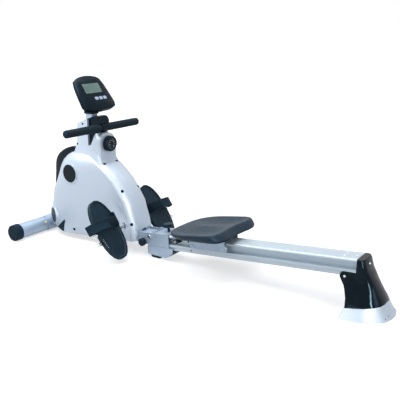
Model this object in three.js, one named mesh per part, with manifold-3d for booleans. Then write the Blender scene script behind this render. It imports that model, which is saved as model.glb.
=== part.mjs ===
// A home rowing machine: a magnetically braked flywheel in a moulded housing, a folding aluminium rail
// and a sliding seat.
// Lengths are millimetres. +X runs from the flywheel end to the rear foot, +Y to the rower's right, +Z up.
// The origin lies on the floor under the middle of the machine. Places along the machine are written from
// the fold pivot, so that a longer machine gets a longer rail between the same two ends.
import * as THREE from 'three';
import { mergeVertices } from 'three/addons/utils/BufferGeometryUtils.js';
import Module from 'manifold-3d';

const wasm = await Module();
wasm.setup();

// Driving sizes of the whole machine
const overallLength = 1804;
const pivotFromFront = 710;
const machineFrontX = -pivotFromFront;
const machineRearX = overallLength - pivotFromFront;
const fitGap = 0.3;
const slideGap = 0.5;
const cutOver = 2;
const weldDistance = 0.0001;
const degree = Math.PI / 180;

// Front stabilizer: a round tube across the machine with rubber caps
const stabilizerLength = 546;
const stabilizerTubeRadius = 36.5;
const stabilizerTubeWall = 2;
const stabilizerCapRadius = 39.5;
const stabilizerCapLength = 38;
const stabilizerCapEnd = 7;
const stabilizerCapRound = 5;
const stabilizerFlat = 1.2;
const stabilizerX = machineFrontX + stabilizerCapRadius;
const stabilizerZ = stabilizerCapRadius - stabilizerFlat;

// Main beam along the machine, with a saddle that hugs the stabilizer
const beamHalfWidth = 30;
const beamHeight = 44;
const beamWall = 2.5;
const beamRearZ = 82;
const saddleHalfWidth = 78;
const saddleWall = 3.5;
const saddleBottomZ = 8;

// Fold hinge at the front end of the rail
const pivotX = 0;
const pivotZ = 96;
const pivotBoltRadius = 6;
const pivotBoltHeadRadius = 10;
const pivotBoltHeadHeight = 5;
const pivotBoltEdge = 2;

// Rail: an aluminium extrusion with a roller channel in each side
const railHalfWidth = 45;
const railHeight = 66.7;
const railWall = 3;
const railTopAbovePivot = 13.4;
const railFrontFromPivot = 25;
const railLipHeight = 9;
const railChannelHeight = 32;
const railChannelDepth = 21;
const railLowerLipHeight = 10;
const railTopRound = 8;
const railLowerInset = 4;
const railGrooveWidth = 5;
const railGrooveDepth = 1.5;
const railGrooveFromEdge = 14;
const railTop = railTopAbovePivot;
const railChannelTop = railTop - railLipHeight;
const railChannelFloor = railChannelTop - railChannelHeight;
const railLipBottom = railChannelFloor - railLowerLipHeight;
const railBottom = railTop - railHeight;

// Fixed hinge block, its ears, and the feet under it
const blockFrontBehindPivot = 12;
const blockLength = 140;
const blockWall = 3.5;
const blockFloorZ = 14;
const blockChamferRun = 35;
const blockChamferRise = 28;
const blockCorner = 3;
const blockTopGap = 1;
const earThickness = 4;
const earFrontFromPivot = 72;
const earBottomZ = 56;
const earRadius = 15;
const earTopRound = 13.5;
const earFrontDrop = 5;
const blockRearX = pivotX - blockFrontBehindPivot + blockLength;
const blockFrontX = pivotX - blockFrontBehindPivot;
const footLength = 56;
const footWidth = 28;
const footTaper = 4;
const footFromPivot = 27;
const footInset = 3;

// Folding bracket bolted round the front end of the rail
const bracketFrontFromPivot = 17;
const bracketRearFromPivot = 106;
const bracketTopStart = 24;
const bracketWall = 4;
const bracketBelowPivot = 42;
const bracketCorner = 9;
const bracketLowCorner = 15;
const bracketHalfWidth = railHalfWidth + slideGap + bracketWall;

// Turning knob on the bracket and pull knob on the hinge ear
const starKnobFromPivot = 74;
const starKnobRadius = 25;
const starKnobLobes = 6;
const starKnobHeight = 16;
const starKnobStemRadius = 6;
const starKnobStemHeight = 21;
const starKnobDip = 5;
const starKnobEdge = 2;
const pullKnobBehindPivot = 36;
const pullKnobX = pivotX - pullKnobBehindPivot;
const pullKnobZ = 66;
const pullKnobRadius = 18;
const pullKnobLength = 17;
const pullKnobFlutes = 12;
const pullKnobFluteDepth = 1.5;
const pullKnobPinRadius = 4.5;
const pullKnobStandOff = 5;
const pullKnobTravel = 10;
const pullKnobEdge = 1.5;

// Housing: two moulded shells that meet on the middle plane
const housingFrontX = -657;
const housingRearX = -64;
const housingBottomZ = 27;
const housingTopZ = 440;
const housingHalfWidth = 86;
const housingRearHalfWidth = 72;
const housingWall = 3.5;
const housingSeam = 0.3;
const housingFrontRound = 110;
const housingRearRound = 30;
const housingRearCrown = 7;
const housingShoulder = 90;
const housingRecessDepth = 11;
const housingRecessBlend = 80;
const housingScallopDepth = 13;
const housingScallopHalfWidth = 19;
const housingScallopHalfHeight = 96;
const housingTaperStart = -398;
const housingTaperEnd = -208;
const housingRidgeWidth = 70;
const housingCoreMargin = 2;
const creaseTopX = -182;
const creaseTopZ = 323;
const creaseLowX = -368;
const creaseLowZ = 150;
const scallopTopX = -155;
const scallopTopZ = 232;
const scallopLowX = -115;
const scallopLowZ = 64;

// Round caps set flush in the housing sides
const sideCapX = -451;
const sideCapZ = 329;
const sideCapRadius = 43;
const cornerCapX = -591;
const cornerCapY = 76;
const cornerCapZ = 97;
const cornerCapRadius = 38;
const cornerCapTurn = 65 * degree;
const capRimWidth = 6;
const capRimProud = 3;
const capThickness = 6;
const capRound = 1.5;
const capFloor = 3;
const capRimDepth = 30;

// Glossy guard over the front of the housing
const guardHalfWidth = 45;
const guardEdgeRound = 6;
const guardCrown = 12;

// Black pan between the flywheel and the beam, with a flap that shows through an arch in each shell
const panFrontX = -566;
const panRearX = -504;
const panThickness = 2.5;
const panInset = 5;
const panFlapWidth = 12;
const archBottomZ = 24;
const archTopZ = 91;

// Mast: a steel tube that carries the console, the cradle and the mast cover
const mastX = -376;
const mastDepth = 46;
const mastWidth = 36;
const mastWall = 2;
const mastCorner = 5;
const mastTopZ = 640;

// Mast cover: two moulded halves with the dial boss at the back
const coverBottomZ = 385;
const coverTopZ = 604;
const coverWall = 2.5;
const coverCorner = 14;
const coverFootFrontX = -468;
const coverFootRearX = -266;
const coverFootHalfWidth = 66;
const coverNeckFrontX = -433;
const coverNeckRearX = -308;
const coverNeckHalfWidth = 45;
const coverSlopeFrontZ = 562;
const coverSlopeRearZ = 593;
const coverBayFrontX = -361;
const coverBayLowZ = 468;
const coverBayFloor = 15;
const coverBayRearX = -313;
const coverBayRearZ = 524;
const bossHalfWidth = 50;
const bossCentreZ = 480;
const bossFaceX = -278;
const bossFrontX = -316;
const bossGap = 3;
const strapRoomHalfWidth = 15;

// Handle and the cradle that it rests in
const handleX = -305;
const handleZ = 550;
const handleLength = 465;
const handleTubeRadius = 12.5;
const handleTubeWall = 1.5;
const gripRadius = 17.85;
const gripEnd = 4;
const gripInner = 21;
const gripRound = 3;
const clampHalfWidth = 16;
const clampSlotDepth = 5;
const clampRadius = 19;
const cradleHalfWidth = 34;
const cradleFrontX = -367;
const cradleRearX = -297;
const cradleTopZ = 602;
const cradleBottomZ = 463;
const cradleNotchGap = 0.45;
const cradleSlotHalfWidth = 18.6;
const handleTravel = 1000;

// Guide roller and pull strap
const rollerX = -334;
const rollerZ = 536;
const guideRollerRadius = 10;
const guideRollerHalfLength = 14;
const guidePinRadius = 4;
const guidePinReach = 10;
const strapThickness = 2;
const strapHalfWidth = 12;

// Tension dial
const dialRadius = 35.5;
const dialLength = 24;
const dialFlutes = 16;
const dialFluteDepth = 1.6;
const dialStemRadius = 5;
const dialStemLength = 14;
const dialEdge = 2;

// Console
const consoleFaceX = -379;
const consoleFaceZ = 747;
const consoleTilt = 35 * degree;
const consoleTopRise = 42;
const consoleDrop = 139;
const consoleHalfWidth = 99;
const consoleFrontThickness = 12;
const consoleBackThickness = 17;
const consoleEdgeRound = 5;
const screenHalfWidth = 53;
const screenHeight = 52;
const screenDepth = 2;
const buttonWidth = 22;
const buttonHeight = 17;
const buttonPitch = 26;
const buttonFirstY = -4;
const buttonDrop = 80;
const buttonThickness = 5;
const buttonProud = 1.4;
const buttonTravel = 1;
const buttonCorner = 3;
const consoleBackShare = 0.78;
const consoleBackWall = 3;
const neckHalfWidth = 20.8;
const neckFrontX = -402;
const neckRearX = -350;
const neckBottomZ = 609;
const neckWeld = 2;

// Flywheel, its shaft and the shaft plates
const wheelX = -508;
const wheelZ = 205;
const wheelRadius = 100;
const wheelHalfRim = 13;
const wheelRimDepth = 18;
const wheelHalfWeb = 4;
const wheelHubRadius = 20;
const shaftRadius = 8;
const shaftPlateY = 31;
const shaftPlateThickness = 4;
const beltY = 40;
const beltWidth = 12;
const beltThickness = 2;
const smallPulleyRadius = 24;
const pulleyFlange = 3;
const pulleyFlangeWidth = 2;
const pulleyHubRadius = 15;
const pulleyRimDepth = 7;
const pulleyHalfWeb = 2.5;
const axleOverrun = 4;
const axleBossRadius = 22;
const axleArmRadius = 20;

// Strap drum, its drive pulley and the recoil spring case
const drumX = -258;
const drumZ = 270;
const drivePulleyRadius = 84;
const drumCoilRadius = 46;
const drumFlangeRadius = 60;
const drumHalfWidth = 13;
const drumFlangeWidth = 2.5;
const springCaseRadius = 54;
const springCaseWidth = 18;
const drumRoomHalfWidth = 57;
const drumRoomGap = 4;

// Magnet yoke under the flywheel
const yokePivotX = -444;
const yokePivotZ = 110;
const yokeGap = 3;
const yokeCheekWidth = 3.5;
const yokeWeb = 4;
const yokeReach = 17;
const yokeStart = 222 * degree;
const yokeEnd = 296 * degree;
const yokePinRadius = 5;
const yokeBarrelRadius = 9;
const yokeCheekGap = 3;
const yokeArmRadius = 13;
const yokeRest = 7 * degree;

// Pedals on their crossbar
const crossbarX = -141;
const crossbarZ = 124.5;
const crossbarRadius = 10;
const crossbarHalfLength = 246;
const crossbarClearance = 3;
const crossbarPlateY = 22;
const crossbarPlateThickness = 4;
const crossbarPlateHalfLength = 27;
const crossbarPlateRound = 17;
const crossbarCollarRadius = 13;
const crossbarCollarWidth = 4;
const pedalY = 170;
const pedalLength = 287;
const pedalHalfWidth = 67.5;
const pedalThickness = 20;
const pedalRim = 3;
const pedalRimWidth = 9;
const pedalLean = 53.5 * degree;
const pedalAxleDepth = 16;
const pedalAxleBelowMiddle = 5.4;
const pedalBossRadius = 15;
const pedalSkin = 6;
const pedalWall = 5;
const pedalRibThickness = 3;
const pedalBoreGap = 0.5;
const pedalPegRadius = 6;
const pedalPegLength = 24;
const pedalPegDrop = 42;
const pedalPower = 2.2;
const footStrapWidth = 43;
const footStrapThickness = 3;
const footStrapArch = 32;
const footStrapMiddle = -21;
const footStrapDroop = 11;
const footStrapBulge = 45;
const footStrapRoot = 53;
const footStrapSlotDepth = 5;
const footStrapGap = 1;

// Seat carriage and its rollers
const carriageFront = 226;
const carriageRear = 402;
const carriageWall = 3;
const carriageCorner = 6.5;
const carriageTopAboveRail = 13;
const carriageSideGap = 5;
const carriageSideDrop = 40;
const carriageLug = 15;
const railRollerRadius = 15.2;
const railRollerWidth = 16;
const railRollerBore = 4.5;
const railRollerPitch = 71;
const railRollerFirst = 244;
const railRollerFromWeb = 2;
const railRollerCount = 3;
const railRollerRound = 1.5;
const stubCollarRadius = 8;
const seatMiddle = 297;
const seatFrontReach = 137;
const seatRearReach = 148;
const seatHalfWidth = 163;
const seatBottom = 41;
const seatPadSink = 12;
const seatTop = 60;
const seatRearRise = 14;
const seatHollowDepth = 13;
const seatNotchDepth = 16;
const seatNotchHalfWidth = 34;
const seatPadHalfLength = 70;
const seatPadHalfWidth = 48;

// Stop bumper through the rail
const stopFromPivot = 149;
const stopBelowRailTop = 21;
const stopRadius = 11;
const stopLength = 15;
const stopBoltRadius = 4;

// Rear leg: a glossy cover on a pale foot
const legLength = 138;
const legHeight = 204;
const legFootHalfWidth = 127;
const legFrontRound = 5;
const legFootLength = 182;
const legWall = 4;
const legSplitZ = 27;
const legSplitRise = 27;
const legLugFromCover = 40;
const legLugZ = 131;
const legLugRadius = 19;
const legLugTurn = 20 * degree;
const legLugLowZ = 92;
const legPlugLength = 60;
const legLugHalfWidth = 46;
const legFrontX = machineRearX - legLength;
const legNoseX = machineRearX - legFootLength;
const legLugX = legFrontX - legLugFromCover;
const railSocket = 2;
const railRise = 94.6;
const railSlope = Math.atan(railRise / (legFrontX - pivotX));
const railEnd = (legFrontX + railSocket - pivotX) / Math.cos(railSlope);

// Round faces
const finePieces = 24;
const seatPieces = 32;
const plainPieces = 18;
const innerPieces = 16;
const smallPieces = 12;
const stubPieces = 8;

// Materials, each with the colour and gloss of the real finish
function finish(colour, roughness, metalness) {
  return new THREE.MeshStandardMaterial({ color: colour, roughness, metalness });
}
const silverPlastic = finish(0xc9d4e2, 0.4, 0.1);
const blackPlastic = finish(0x20262c, 0.5, 0);
const glossBlack = finish(0x0c0f12, 0.1, 0);
const paintedSteel = finish(0x98a7ba, 0.4, 0.4);
const anodised = finish(0xb9c2cb, 0.35, 0.8);
const brightSteel = finish(0xd0d2d4, 0.25, 1);
const castIron = finish(0x4a4e52, 0.5, 0.8);
const blackFoam = finish(0x282b2f, 0.9, 0);
const blackRubber = finish(0x1d2023, 0.85, 0);
const seatFoam = finish(0x3d454c, 0.7, 0);
const blackWebbing = finish(0x262a30, 0.9, 0);
const displayGlass = finish(0x7d8f86, 0.15, 0);
const buttonPlastic = finish(0xa9b8c6, 0.45, 0);
const whiteNylon = finish(0xe4e6e6, 0.5, 0);

// Points and directions
const vec = (x, y, z) => new THREE.Vector3(x, y, z);
const flat = (x, y) => new THREE.Vector2(x, y);
const alongX = vec(1, 0, 0);
const alongY = vec(0, 1, 0);
const alongZ = vec(0, 0, 1);
const mix = THREE.MathUtils.lerp;

function smoothStep(value, start, end) {
  const share = THREE.MathUtils.clamp((value - start) / (end - start), 0, 1);
  return share * share * (3 - 2 * share);
}

// Reads a curve through rows of [place, value, ...] with an even slope at each row
function readCurve(rows, place, column) {
  const last = rows.length - 1;
  if (place <= rows[0][0]) return rows[0][column];
  if (place >= rows[last][0]) return rows[last][column];
  let row = 0;
  while (rows[row + 1][0] < place) row += 1;
  const slopeAt = (index) => {
    const before = rows[Math.max(index - 1, 0)];
    const after = rows[Math.min(index + 1, last)];
    return (after[column] - before[column]) / (after[0] - before[0]);
  };
  const [from, to] = [rows[row], rows[row + 1]];
  const step = to[0] - from[0];
  const share = (place - from[0]) / step;
  const square = share * share;
  const cube = square * share;
  return (2 * cube - 3 * square + 1) * from[column] + (cube - 2 * square + share) * step * slopeAt(row)
    + (3 * square - 2 * cube) * to[column] + (cube - square) * step * slopeAt(row + 1);
}

// Closed meshes and solids
function closedMesh(geometry) {
  const bare = new THREE.BufferGeometry();
  bare.setAttribute('position', geometry.getAttribute('position').clone());
  if (geometry.index) bare.setIndex(Array.from(geometry.index.array));
  const merged = mergeVertices(bare, weldDistance);
  const source = merged.index.array;
  const place = merged.getAttribute('position');
  const corners = [];
  let volume = 0;
  for (let i = 0; i < source.length; i += 3) {
    const [a, b, c] = [source[i], source[i + 1], source[i + 2]];
    if (a === b || b === c || c === a) continue;
    corners.push(a, b, c);
    const [p, q, r] = [a, b, c].map((n) => new THREE.Vector3().fromBufferAttribute(place, n));
    volume += p.dot(q.cross(r));
  }
  if (volume < 0) {
    for (let i = 0; i < corners.length; i += 3) [corners[i], corners[i + 1]] = [corners[i + 1], corners[i]];
  }
  merged.setIndex(corners);
  return merged;
}

function solid(shape) {
  if (shape instanceof wasm.Manifold) return shape;
  const merged = closedMesh(shape);
  return new wasm.Manifold(new wasm.Mesh({
    numProp: 3,
    vertProperties: new Float32Array(merged.getAttribute('position').array),
    triVerts: new Uint32Array(merged.index.array),
  }));
}

const join = (first, ...others) => others.reduce((sum, next) => sum.add(solid(next)), solid(first));
const cut = (first, ...tools) => tools.reduce((rest, tool) => rest.subtract(solid(tool)), solid(first));
const keep = (first, other) => solid(first).intersect(solid(other));

// A skin trimmed by its neighbours can leave slivers, so the main piece is kept
function mainPiece(shape) {
  const pieces = shape.decompose();
  return pieces.reduce((best, next) => (next.volume() > best.volume() ? next : best));
}

function geometryOf(shape) {
  if (!(shape instanceof wasm.Manifold)) return closedMesh(shape);
  const result = shape.getMesh();
  const geometry = new THREE.BufferGeometry();
  geometry.setAttribute('position', new THREE.BufferAttribute(result.vertProperties, 3));
  geometry.setIndex(new THREE.BufferAttribute(result.triVerts, 1));
  return closedMesh(geometry);
}

// Simple forms, each at its own place
function block(lowX, highX, lowY, highY, lowZ, highZ) {
  const box = new THREE.BoxGeometry(highX - lowX, highY - lowY, highZ - lowZ);
  return box.translate((lowX + highX) / 2, (lowY + highY) / 2, (lowZ + highZ) / 2);
}

function turnTo(geometry, origin, direction) {
  const turn = new THREE.Quaternion().setFromUnitVectors(alongY, direction.clone().normalize());
  return geometry.applyQuaternion(turn).translate(origin.x, origin.y, origin.z);
}

// A turned piece: profile rows are [radius, distance along the axis from the origin]
function turned(profile, origin, direction, pieces) {
  const lathe = new THREE.LatheGeometry(profile.map(([radius, along]) => flat(radius, along)), pieces);
  return turnTo(lathe, origin, direction);
}

function rod(radius, from, to, pieces = plainPieces) {
  const way = to.clone().sub(from);
  const length = way.length();
  return turned([[0, 0], [radius, 0], [radius, length], [0, length]], from, way, pieces);
}

function ring(innerRadius, outerRadius, from, to, pieces = plainPieces) {
  const way = to.clone().sub(from);
  const length = way.length();
  const profile = [
    [innerRadius, 0], [outerRadius, 0], [outerRadius, length], [innerRadius, length], [innerRadius, 0],
  ];
  return turned(profile, from, way, pieces);
}

// The same two forms laid across the machine, between two distances from its middle plane
function crossRod(radius, x, z, fromY, toY, pieces = smallPieces) {
  return rod(radius, vec(x, fromY, z), vec(x, toY, z), pieces);
}
function crossRing(innerRadius, outerRadius, x, z, halfLength) {
  return ring(innerRadius, outerRadius, vec(x, -halfLength, z), vec(x, halfLength, z));
}

// A corner list of [x, y, radius] becomes an outline with round corners
function rounded(corners, steps = 4) {
  const outline = [];
  corners.forEach(([x, y, radius], index) => {
    const here = flat(x, y);
    const [beforeX, beforeY] = corners[(index + corners.length - 1) % corners.length];
    const [afterX, afterY] = corners[(index + 1) % corners.length];
    if (!radius) {
      outline.push(here);
      return;
    }
    const back = flat(beforeX, beforeY).sub(here).normalize();
    const ahead = flat(afterX, afterY).sub(here).normalize();
    const half = Math.acos(THREE.MathUtils.clamp(back.dot(ahead), -1, 1)) / 2;
    const reach = radius / Math.tan(half);
    const start = here.clone().addScaledVector(back, reach);
    const end = here.clone().addScaledVector(ahead, reach);
    const middle = here.clone().addScaledVector(back.clone().add(ahead).normalize(), radius / Math.sin(half));
    const first = start.clone().sub(middle);
    const sweep = Math.atan2(first.cross(end.clone().sub(middle)), first.dot(end.clone().sub(middle)));
    for (let step = 0; step <= steps; step += 1) {
      outline.push(first.clone().rotateAround(flat(0, 0), (sweep * step) / steps).add(middle));
    }
  });
  return outline;
}

function circleOutline(x, y, radius, pieces = smallPieces) {
  return Array.from({ length: pieces }, (_, index) => {
    const angle = (2 * Math.PI * index) / pieces;
    return flat(x + radius * Math.cos(angle), y + radius * Math.sin(angle));
  });
}

// A circle with shallow flutes, for knobs and dials
function flutedOutline(radius, flutes, depth, x, y) {
  const steps = 3;
  return Array.from({ length: flutes * steps }, (_, index) => {
    const angle = (2 * Math.PI * index) / (flutes * steps);
    const reach = index % steps === 0 ? radius - depth : radius;
    return flat(x + reach * Math.cos(angle), y + reach * Math.sin(angle));
  });
}

// The outline of a band laid round two circles in one plane
function beltOutline(x1, y1, radius1, x2, y2, radius2, pieces) {
  const way = flat(x2 - x1, y2 - y1);
  const lean = Math.acos((radius1 - radius2) / way.length());
  const facing = way.angle();
  const outline = [];
  for (let step = 0; step <= pieces; step += 1) {
    const angle = facing + lean + ((2 * Math.PI - 2 * lean) * step) / pieces;
    outline.push(flat(x1 + radius1 * Math.cos(angle), y1 + radius1 * Math.sin(angle)));
  }
  for (let step = 0; step <= pieces; step += 1) {
    const angle = facing - lean + (2 * lean * step) / pieces;
    outline.push(flat(x2 + radius2 * Math.cos(angle), y2 + radius2 * Math.sin(angle)));
  }
  return outline;
}

function shapeOf(outline, holes = []) {
  const shape = new THREE.Shape(outline);
  holes.forEach((hole) => shape.holes.push(new THREE.Path(hole)));
  return shape;
}

function extruded(outline, depth, holes = [], edge = 0, edgeSteps = 2) {
  const inner = depth - 2 * edge;
  const settings = {
    depth: inner, steps: 1, bevelEnabled: edge > 0, bevelThickness: edge, bevelSize: edge, bevelOffset: -edge,
    bevelSegments: edgeSteps, curveSegments: 1,
  };
  return new THREE.ExtrudeGeometry(shapeOf(outline, holes), settings).translate(0, 0, edge);
}

// An outline in X and Z, made thick from one Y to another
function plate(outline, lowY, highY, holes = [], edge = 0, edgeSteps = 2) {
  const basis = new THREE.Matrix4().makeBasis(alongX, alongZ, alongY.clone().negate());
  return extruded(outline, highY - lowY, holes, edge, edgeSteps).applyMatrix4(basis).translate(0, highY, 0);
}

// An outline in Y and Z, drawn out from one X to another
function drawn(outline, lowX, highX, holes = [], edge = 0, edgeSteps = 2) {
  const basis = new THREE.Matrix4().makeBasis(alongY, alongZ, alongX);
  return extruded(outline, highX - lowX, holes, edge, edgeSteps).applyMatrix4(basis).translate(lowX, 0, 0);
}

// An outline in X and Y, made thick from one Z to another
function slab(outline, lowZ, highZ, holes = [], edge = 0, edgeSteps = 2) {
  return extruded(outline, highZ - lowZ, holes, edge, edgeSteps).translate(0, 0, lowZ);
}

// A body through a row of closed rings with as many points each, closed by a fan at either end
function loft(rings) {
  const count = rings[0].length;
  const points = rings.flat();
  const sumOf = (ringPoints) => ringPoints.reduce((sum, p) => sum.add(p), vec(0, 0, 0));
  const middleOf = (ringPoints) => sumOf(ringPoints).divideScalar(count);
  const corners = [];
  for (let level = 0; level < rings.length - 1; level += 1) {
    for (let index = 0; index < count; index += 1) {
      const next = (index + 1) % count;
      const [a, b] = [level * count + index, level * count + next];
      corners.push(a, b, b + count, a, b + count, a + count);
    }
  }
  const start = points.push(middleOf(rings[0])) - 1;
  const end = points.push(middleOf(rings[rings.length - 1])) - 1;
  const top = (rings.length - 1) * count;
  for (let index = 0; index < count; index += 1) {
    const next = (index + 1) % count;
    corners.push(start, next, index, end, top + index, top + next);
  }
  const geometry = new THREE.BufferGeometry().setFromPoints(points);
  geometry.setIndex(corners);
  return geometry;
}

// The machine is one group; the rail and all that folds with it share a group turned to the rail's slope
const machine = new THREE.Group();
machine.position.x = pivotFromFront - overallLength / 2;
const railFrame = new THREE.Group();
railFrame.position.set(pivotX, 0, pivotZ);
railFrame.rotation.y = -railSlope;
machine.add(railFrame);

function add(name, shape, material, group = machine) {
  const mesh = new THREE.Mesh(geometryOf(shape), material);
  mesh.name = name;
  group.add(mesh);
  return mesh;
}

const sides = [['left', -1], ['right', 1]];

// Front stabilizer with its two caps
function stabilizerTube() {
  const half = stabilizerLength / 2 - stabilizerCapEnd - fitGap;
  const inner = stabilizerTubeRadius - stabilizerTubeWall;
  return crossRing(inner, stabilizerTubeRadius, stabilizerX, stabilizerZ, half);
}

function stabilizerCap(side) {
  const round = stabilizerCapRadius - stabilizerCapRound;
  const bore = stabilizerTubeRadius + fitGap;
  const profile = [
    [0, 0], [round, 0], [stabilizerCapRadius, stabilizerCapRound], [stabilizerCapRadius, stabilizerCapLength],
    [bore, stabilizerCapLength], [bore, stabilizerCapEnd], [0, stabilizerCapEnd],
  ];
  const end = vec(stabilizerX, (side * stabilizerLength) / 2, stabilizerZ);
  const cap = turned(profile, end, vec(0, -side, 0), plainPieces);
  const reach = stabilizerLength;
  const ground = block(stabilizerX - reach, stabilizerX + reach, -reach, reach, -reach, 0);
  return cut(cap, ground);
}

add('stabilizer_tube', stabilizerTube(), paintedSteel);
sides.forEach(([name, side]) => add(`stabilizer_cap_${name}`, stabilizerCap(side), blackRubber));

// Main beam: a box tube that climbs from the saddle on the stabilizer to the hinge block
const beamClimb = (beamRearZ - stabilizerZ) / (blockFrontX - stabilizerX);
const beamMiddleAt = (x) => stabilizerZ + beamClimb * (x - stabilizerX);
const beamTopAt = (x) => beamMiddleAt(x) + beamHeight / 2;
function mainBeam() {
  const plateLowY = beamHalfWidth - fitGap;
  const saddleInner = stabilizerTubeRadius + fitGap;
  const saddleOuter = saddleInner + saddleWall;
  const frontX = stabilizerX - saddleOuter - cutOver;
  const reach = saddleHalfWidth + cutOver;
  const saddle = cut(
    crossRing(saddleInner, saddleOuter, stabilizerX, stabilizerZ, saddleHalfWidth),
    block(frontX, stabilizerX, -reach, reach, -saddleOuter, stabilizerZ + saddleOuter + cutOver),
    block(frontX, stabilizerX + saddleOuter + cutOver, -reach, reach, -saddleOuter, saddleBottomZ),
  );
  const endX = blockFrontX - fitGap;
  const side = (inset) => {
    const half = beamHeight / 2 - inset;
    const farX = endX + inset;
    return [
      flat(stabilizerX, beamMiddleAt(stabilizerX) - half), flat(farX, beamMiddleAt(farX) - half),
      flat(farX, beamMiddleAt(farX) + half), flat(stabilizerX, beamMiddleAt(stabilizerX) + half),
    ];
  };
  const innerHalf = beamHalfWidth - beamWall;
  const tube = cut(
    plate(side(0), -beamHalfWidth, beamHalfWidth), plate(side(beamWall), -innerHalf, innerHalf),
    crossRod(saddleInner, stabilizerX, stabilizerZ, -saddleHalfWidth, saddleHalfWidth, plainPieces),
  );
  const arm = (x, z, radius, pinRadius) => [
    beltOutline(x, beamMiddleAt(x), radius, x, z, radius, smallPieces / 2),
    circleOutline(x, z, pinRadius + fitGap),
  ];
  const arms = [
    arm(wheelX, wheelZ, axleArmRadius, shaftRadius), arm(drumX, drumZ, axleBossRadius, shaftRadius),
    arm(yokePivotX, yokePivotZ, yokeArmRadius, yokePinRadius),
  ];
  const plates = sides.flatMap(([, side]) => arms.map(([outline, bore]) => {
    const [nearY, farY] = [side * plateLowY, side * (shaftPlateY + shaftPlateThickness)];
    return plate(outline, Math.min(nearY, farY), Math.max(nearY, farY), [bore]);
  }));
  const crossbarPlates = sides.map(([, side]) => {
    const [nearY, farY] = [side * crossbarPlateY, side * (crossbarPlateY + crossbarPlateThickness)];
    const outline = rounded([
      [crossbarX - crossbarPlateHalfLength, beamMiddleAt(crossbarX), 0],
      [crossbarX + crossbarPlateHalfLength, beamMiddleAt(crossbarX), 0],
      [crossbarX + crossbarPlateHalfLength, crossbarZ + crossbarPlateRound, crossbarPlateRound],
      [crossbarX - crossbarPlateHalfLength, crossbarZ + crossbarPlateRound, crossbarPlateRound],
    ]);
    const bore = circleOutline(crossbarX, crossbarZ, crossbarRadius + fitGap);
    return plate(outline, Math.min(nearY, farY), Math.max(nearY, farY), [bore]);
  });
  return join(saddle, tube, ...plates, ...crossbarPlates);
}
add('main_beam', mainBeam(), paintedSteel);

// Hinge block: a channel under the rail's front end, with two ears that carry the fold pivot
const blockTopAt = (x) => {
  const drop = (bracketBelowPivot + blockTopGap) / Math.cos(railSlope);
  return pivotZ + (x - pivotX) * Math.tan(railSlope) - drop;
};
function hingeBlock() {
  const half = bracketHalfWidth;
  const profile = rounded([
    [blockFrontX, blockFloorZ, blockCorner], [blockRearX - blockChamferRun, blockFloorZ, blockCorner],
    [blockRearX, blockFloorZ + blockChamferRise, blockCorner], [blockRearX, blockTopAt(blockRearX), 0],
    [blockFrontX, blockTopAt(blockFrontX), 0],
  ], 2);
  const inner = half - blockWall;
  const channel = block(
    blockFrontX + blockWall, blockRearX + cutOver, -inner, inner, blockFloorZ + blockWall, pivotZ,
  );
  const box = cut(plate(profile, -half, half), channel);
  const earHalf = railHalfWidth;
  const earInner = earHalf - earThickness;
  const endPlate = block(
    blockFrontX, blockFrontX + blockWall, -earHalf, earHalf, blockFloorZ + blockWall, pivotZ + earRadius / 2,
  );
  const earFrontX = pivotX - earFrontFromPivot;
  const earTop = pivotZ + earRadius;
  const ear = rounded([
    [earFrontX, earBottomZ, 0], [pivotX + earRadius, earBottomZ, earRadius / 2],
    [pivotX + earRadius, earTop, earTopRound], [earFrontX, earTop - earFrontDrop, 0],
  ], 5);
  const bore = circleOutline(pivotX, pivotZ, pivotBoltRadius + fitGap);
  const pinBore = circleOutline(pullKnobX, pullKnobZ, pullKnobPinRadius + fitGap);
  const ears = sides.map(([name, side]) => {
    const [outerY, innerY] = [side * earHalf, side * earInner];
    const holes = name === 'left' ? [bore, pinBore] : [bore];
    return plate(ear, Math.min(outerY, innerY), Math.max(outerY, innerY), holes);
  });
  return join(box, endPlate, ...ears);
}
add('hinge_block', hingeBlock(), paintedSteel);

function middleFoot(side) {
  const rings = [0, 1].map((level) => {
    const spread = level ? 0 : footTaper;
    const [halfLength, halfWidth] = [footLength / 2 - spread, footWidth / 2 - spread];
    const corner = footWidth / 4;
    const outline = rounded([
      [-halfLength, -halfWidth, corner], [halfLength, -halfWidth, corner],
      [halfLength, halfWidth, corner], [-halfLength, halfWidth, corner],
    ]);
    const height = level * (blockFloorZ - fitGap);
    const middleY = side * (bracketHalfWidth - footInset - footWidth / 2);
    return outline.map((p) => vec(p.x + pivotX + footFromPivot, p.y + middleY, height));
  });
  return loft(rings);
}
sides.forEach(([name, side]) => add(`middle_foot_${name}`, middleFoot(side), blackRubber));

function pivotBolt() {
  const reach = railHalfWidth + slideGap + bracketWall + fitGap;
  const faceRadius = pivotBoltHeadRadius - pivotBoltEdge;
  const profile = [
    [0, -pivotBoltHeadHeight], [faceRadius, -pivotBoltHeadHeight], [pivotBoltHeadRadius, -pivotBoltEdge / 2],
    [pivotBoltHeadRadius, 0], [pivotBoltRadius, 0], [pivotBoltRadius, 2 * reach],
    [pivotBoltHeadRadius, 2 * reach], [pivotBoltHeadRadius, 2 * reach + pivotBoltHeadHeight],
    [0, 2 * reach + pivotBoltHeadHeight],
  ];
  return turned(profile, vec(pivotX, -reach, pivotZ), alongY, smallPieces);
}
add('pivot_bolt', pivotBolt(), brightSteel);

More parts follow.
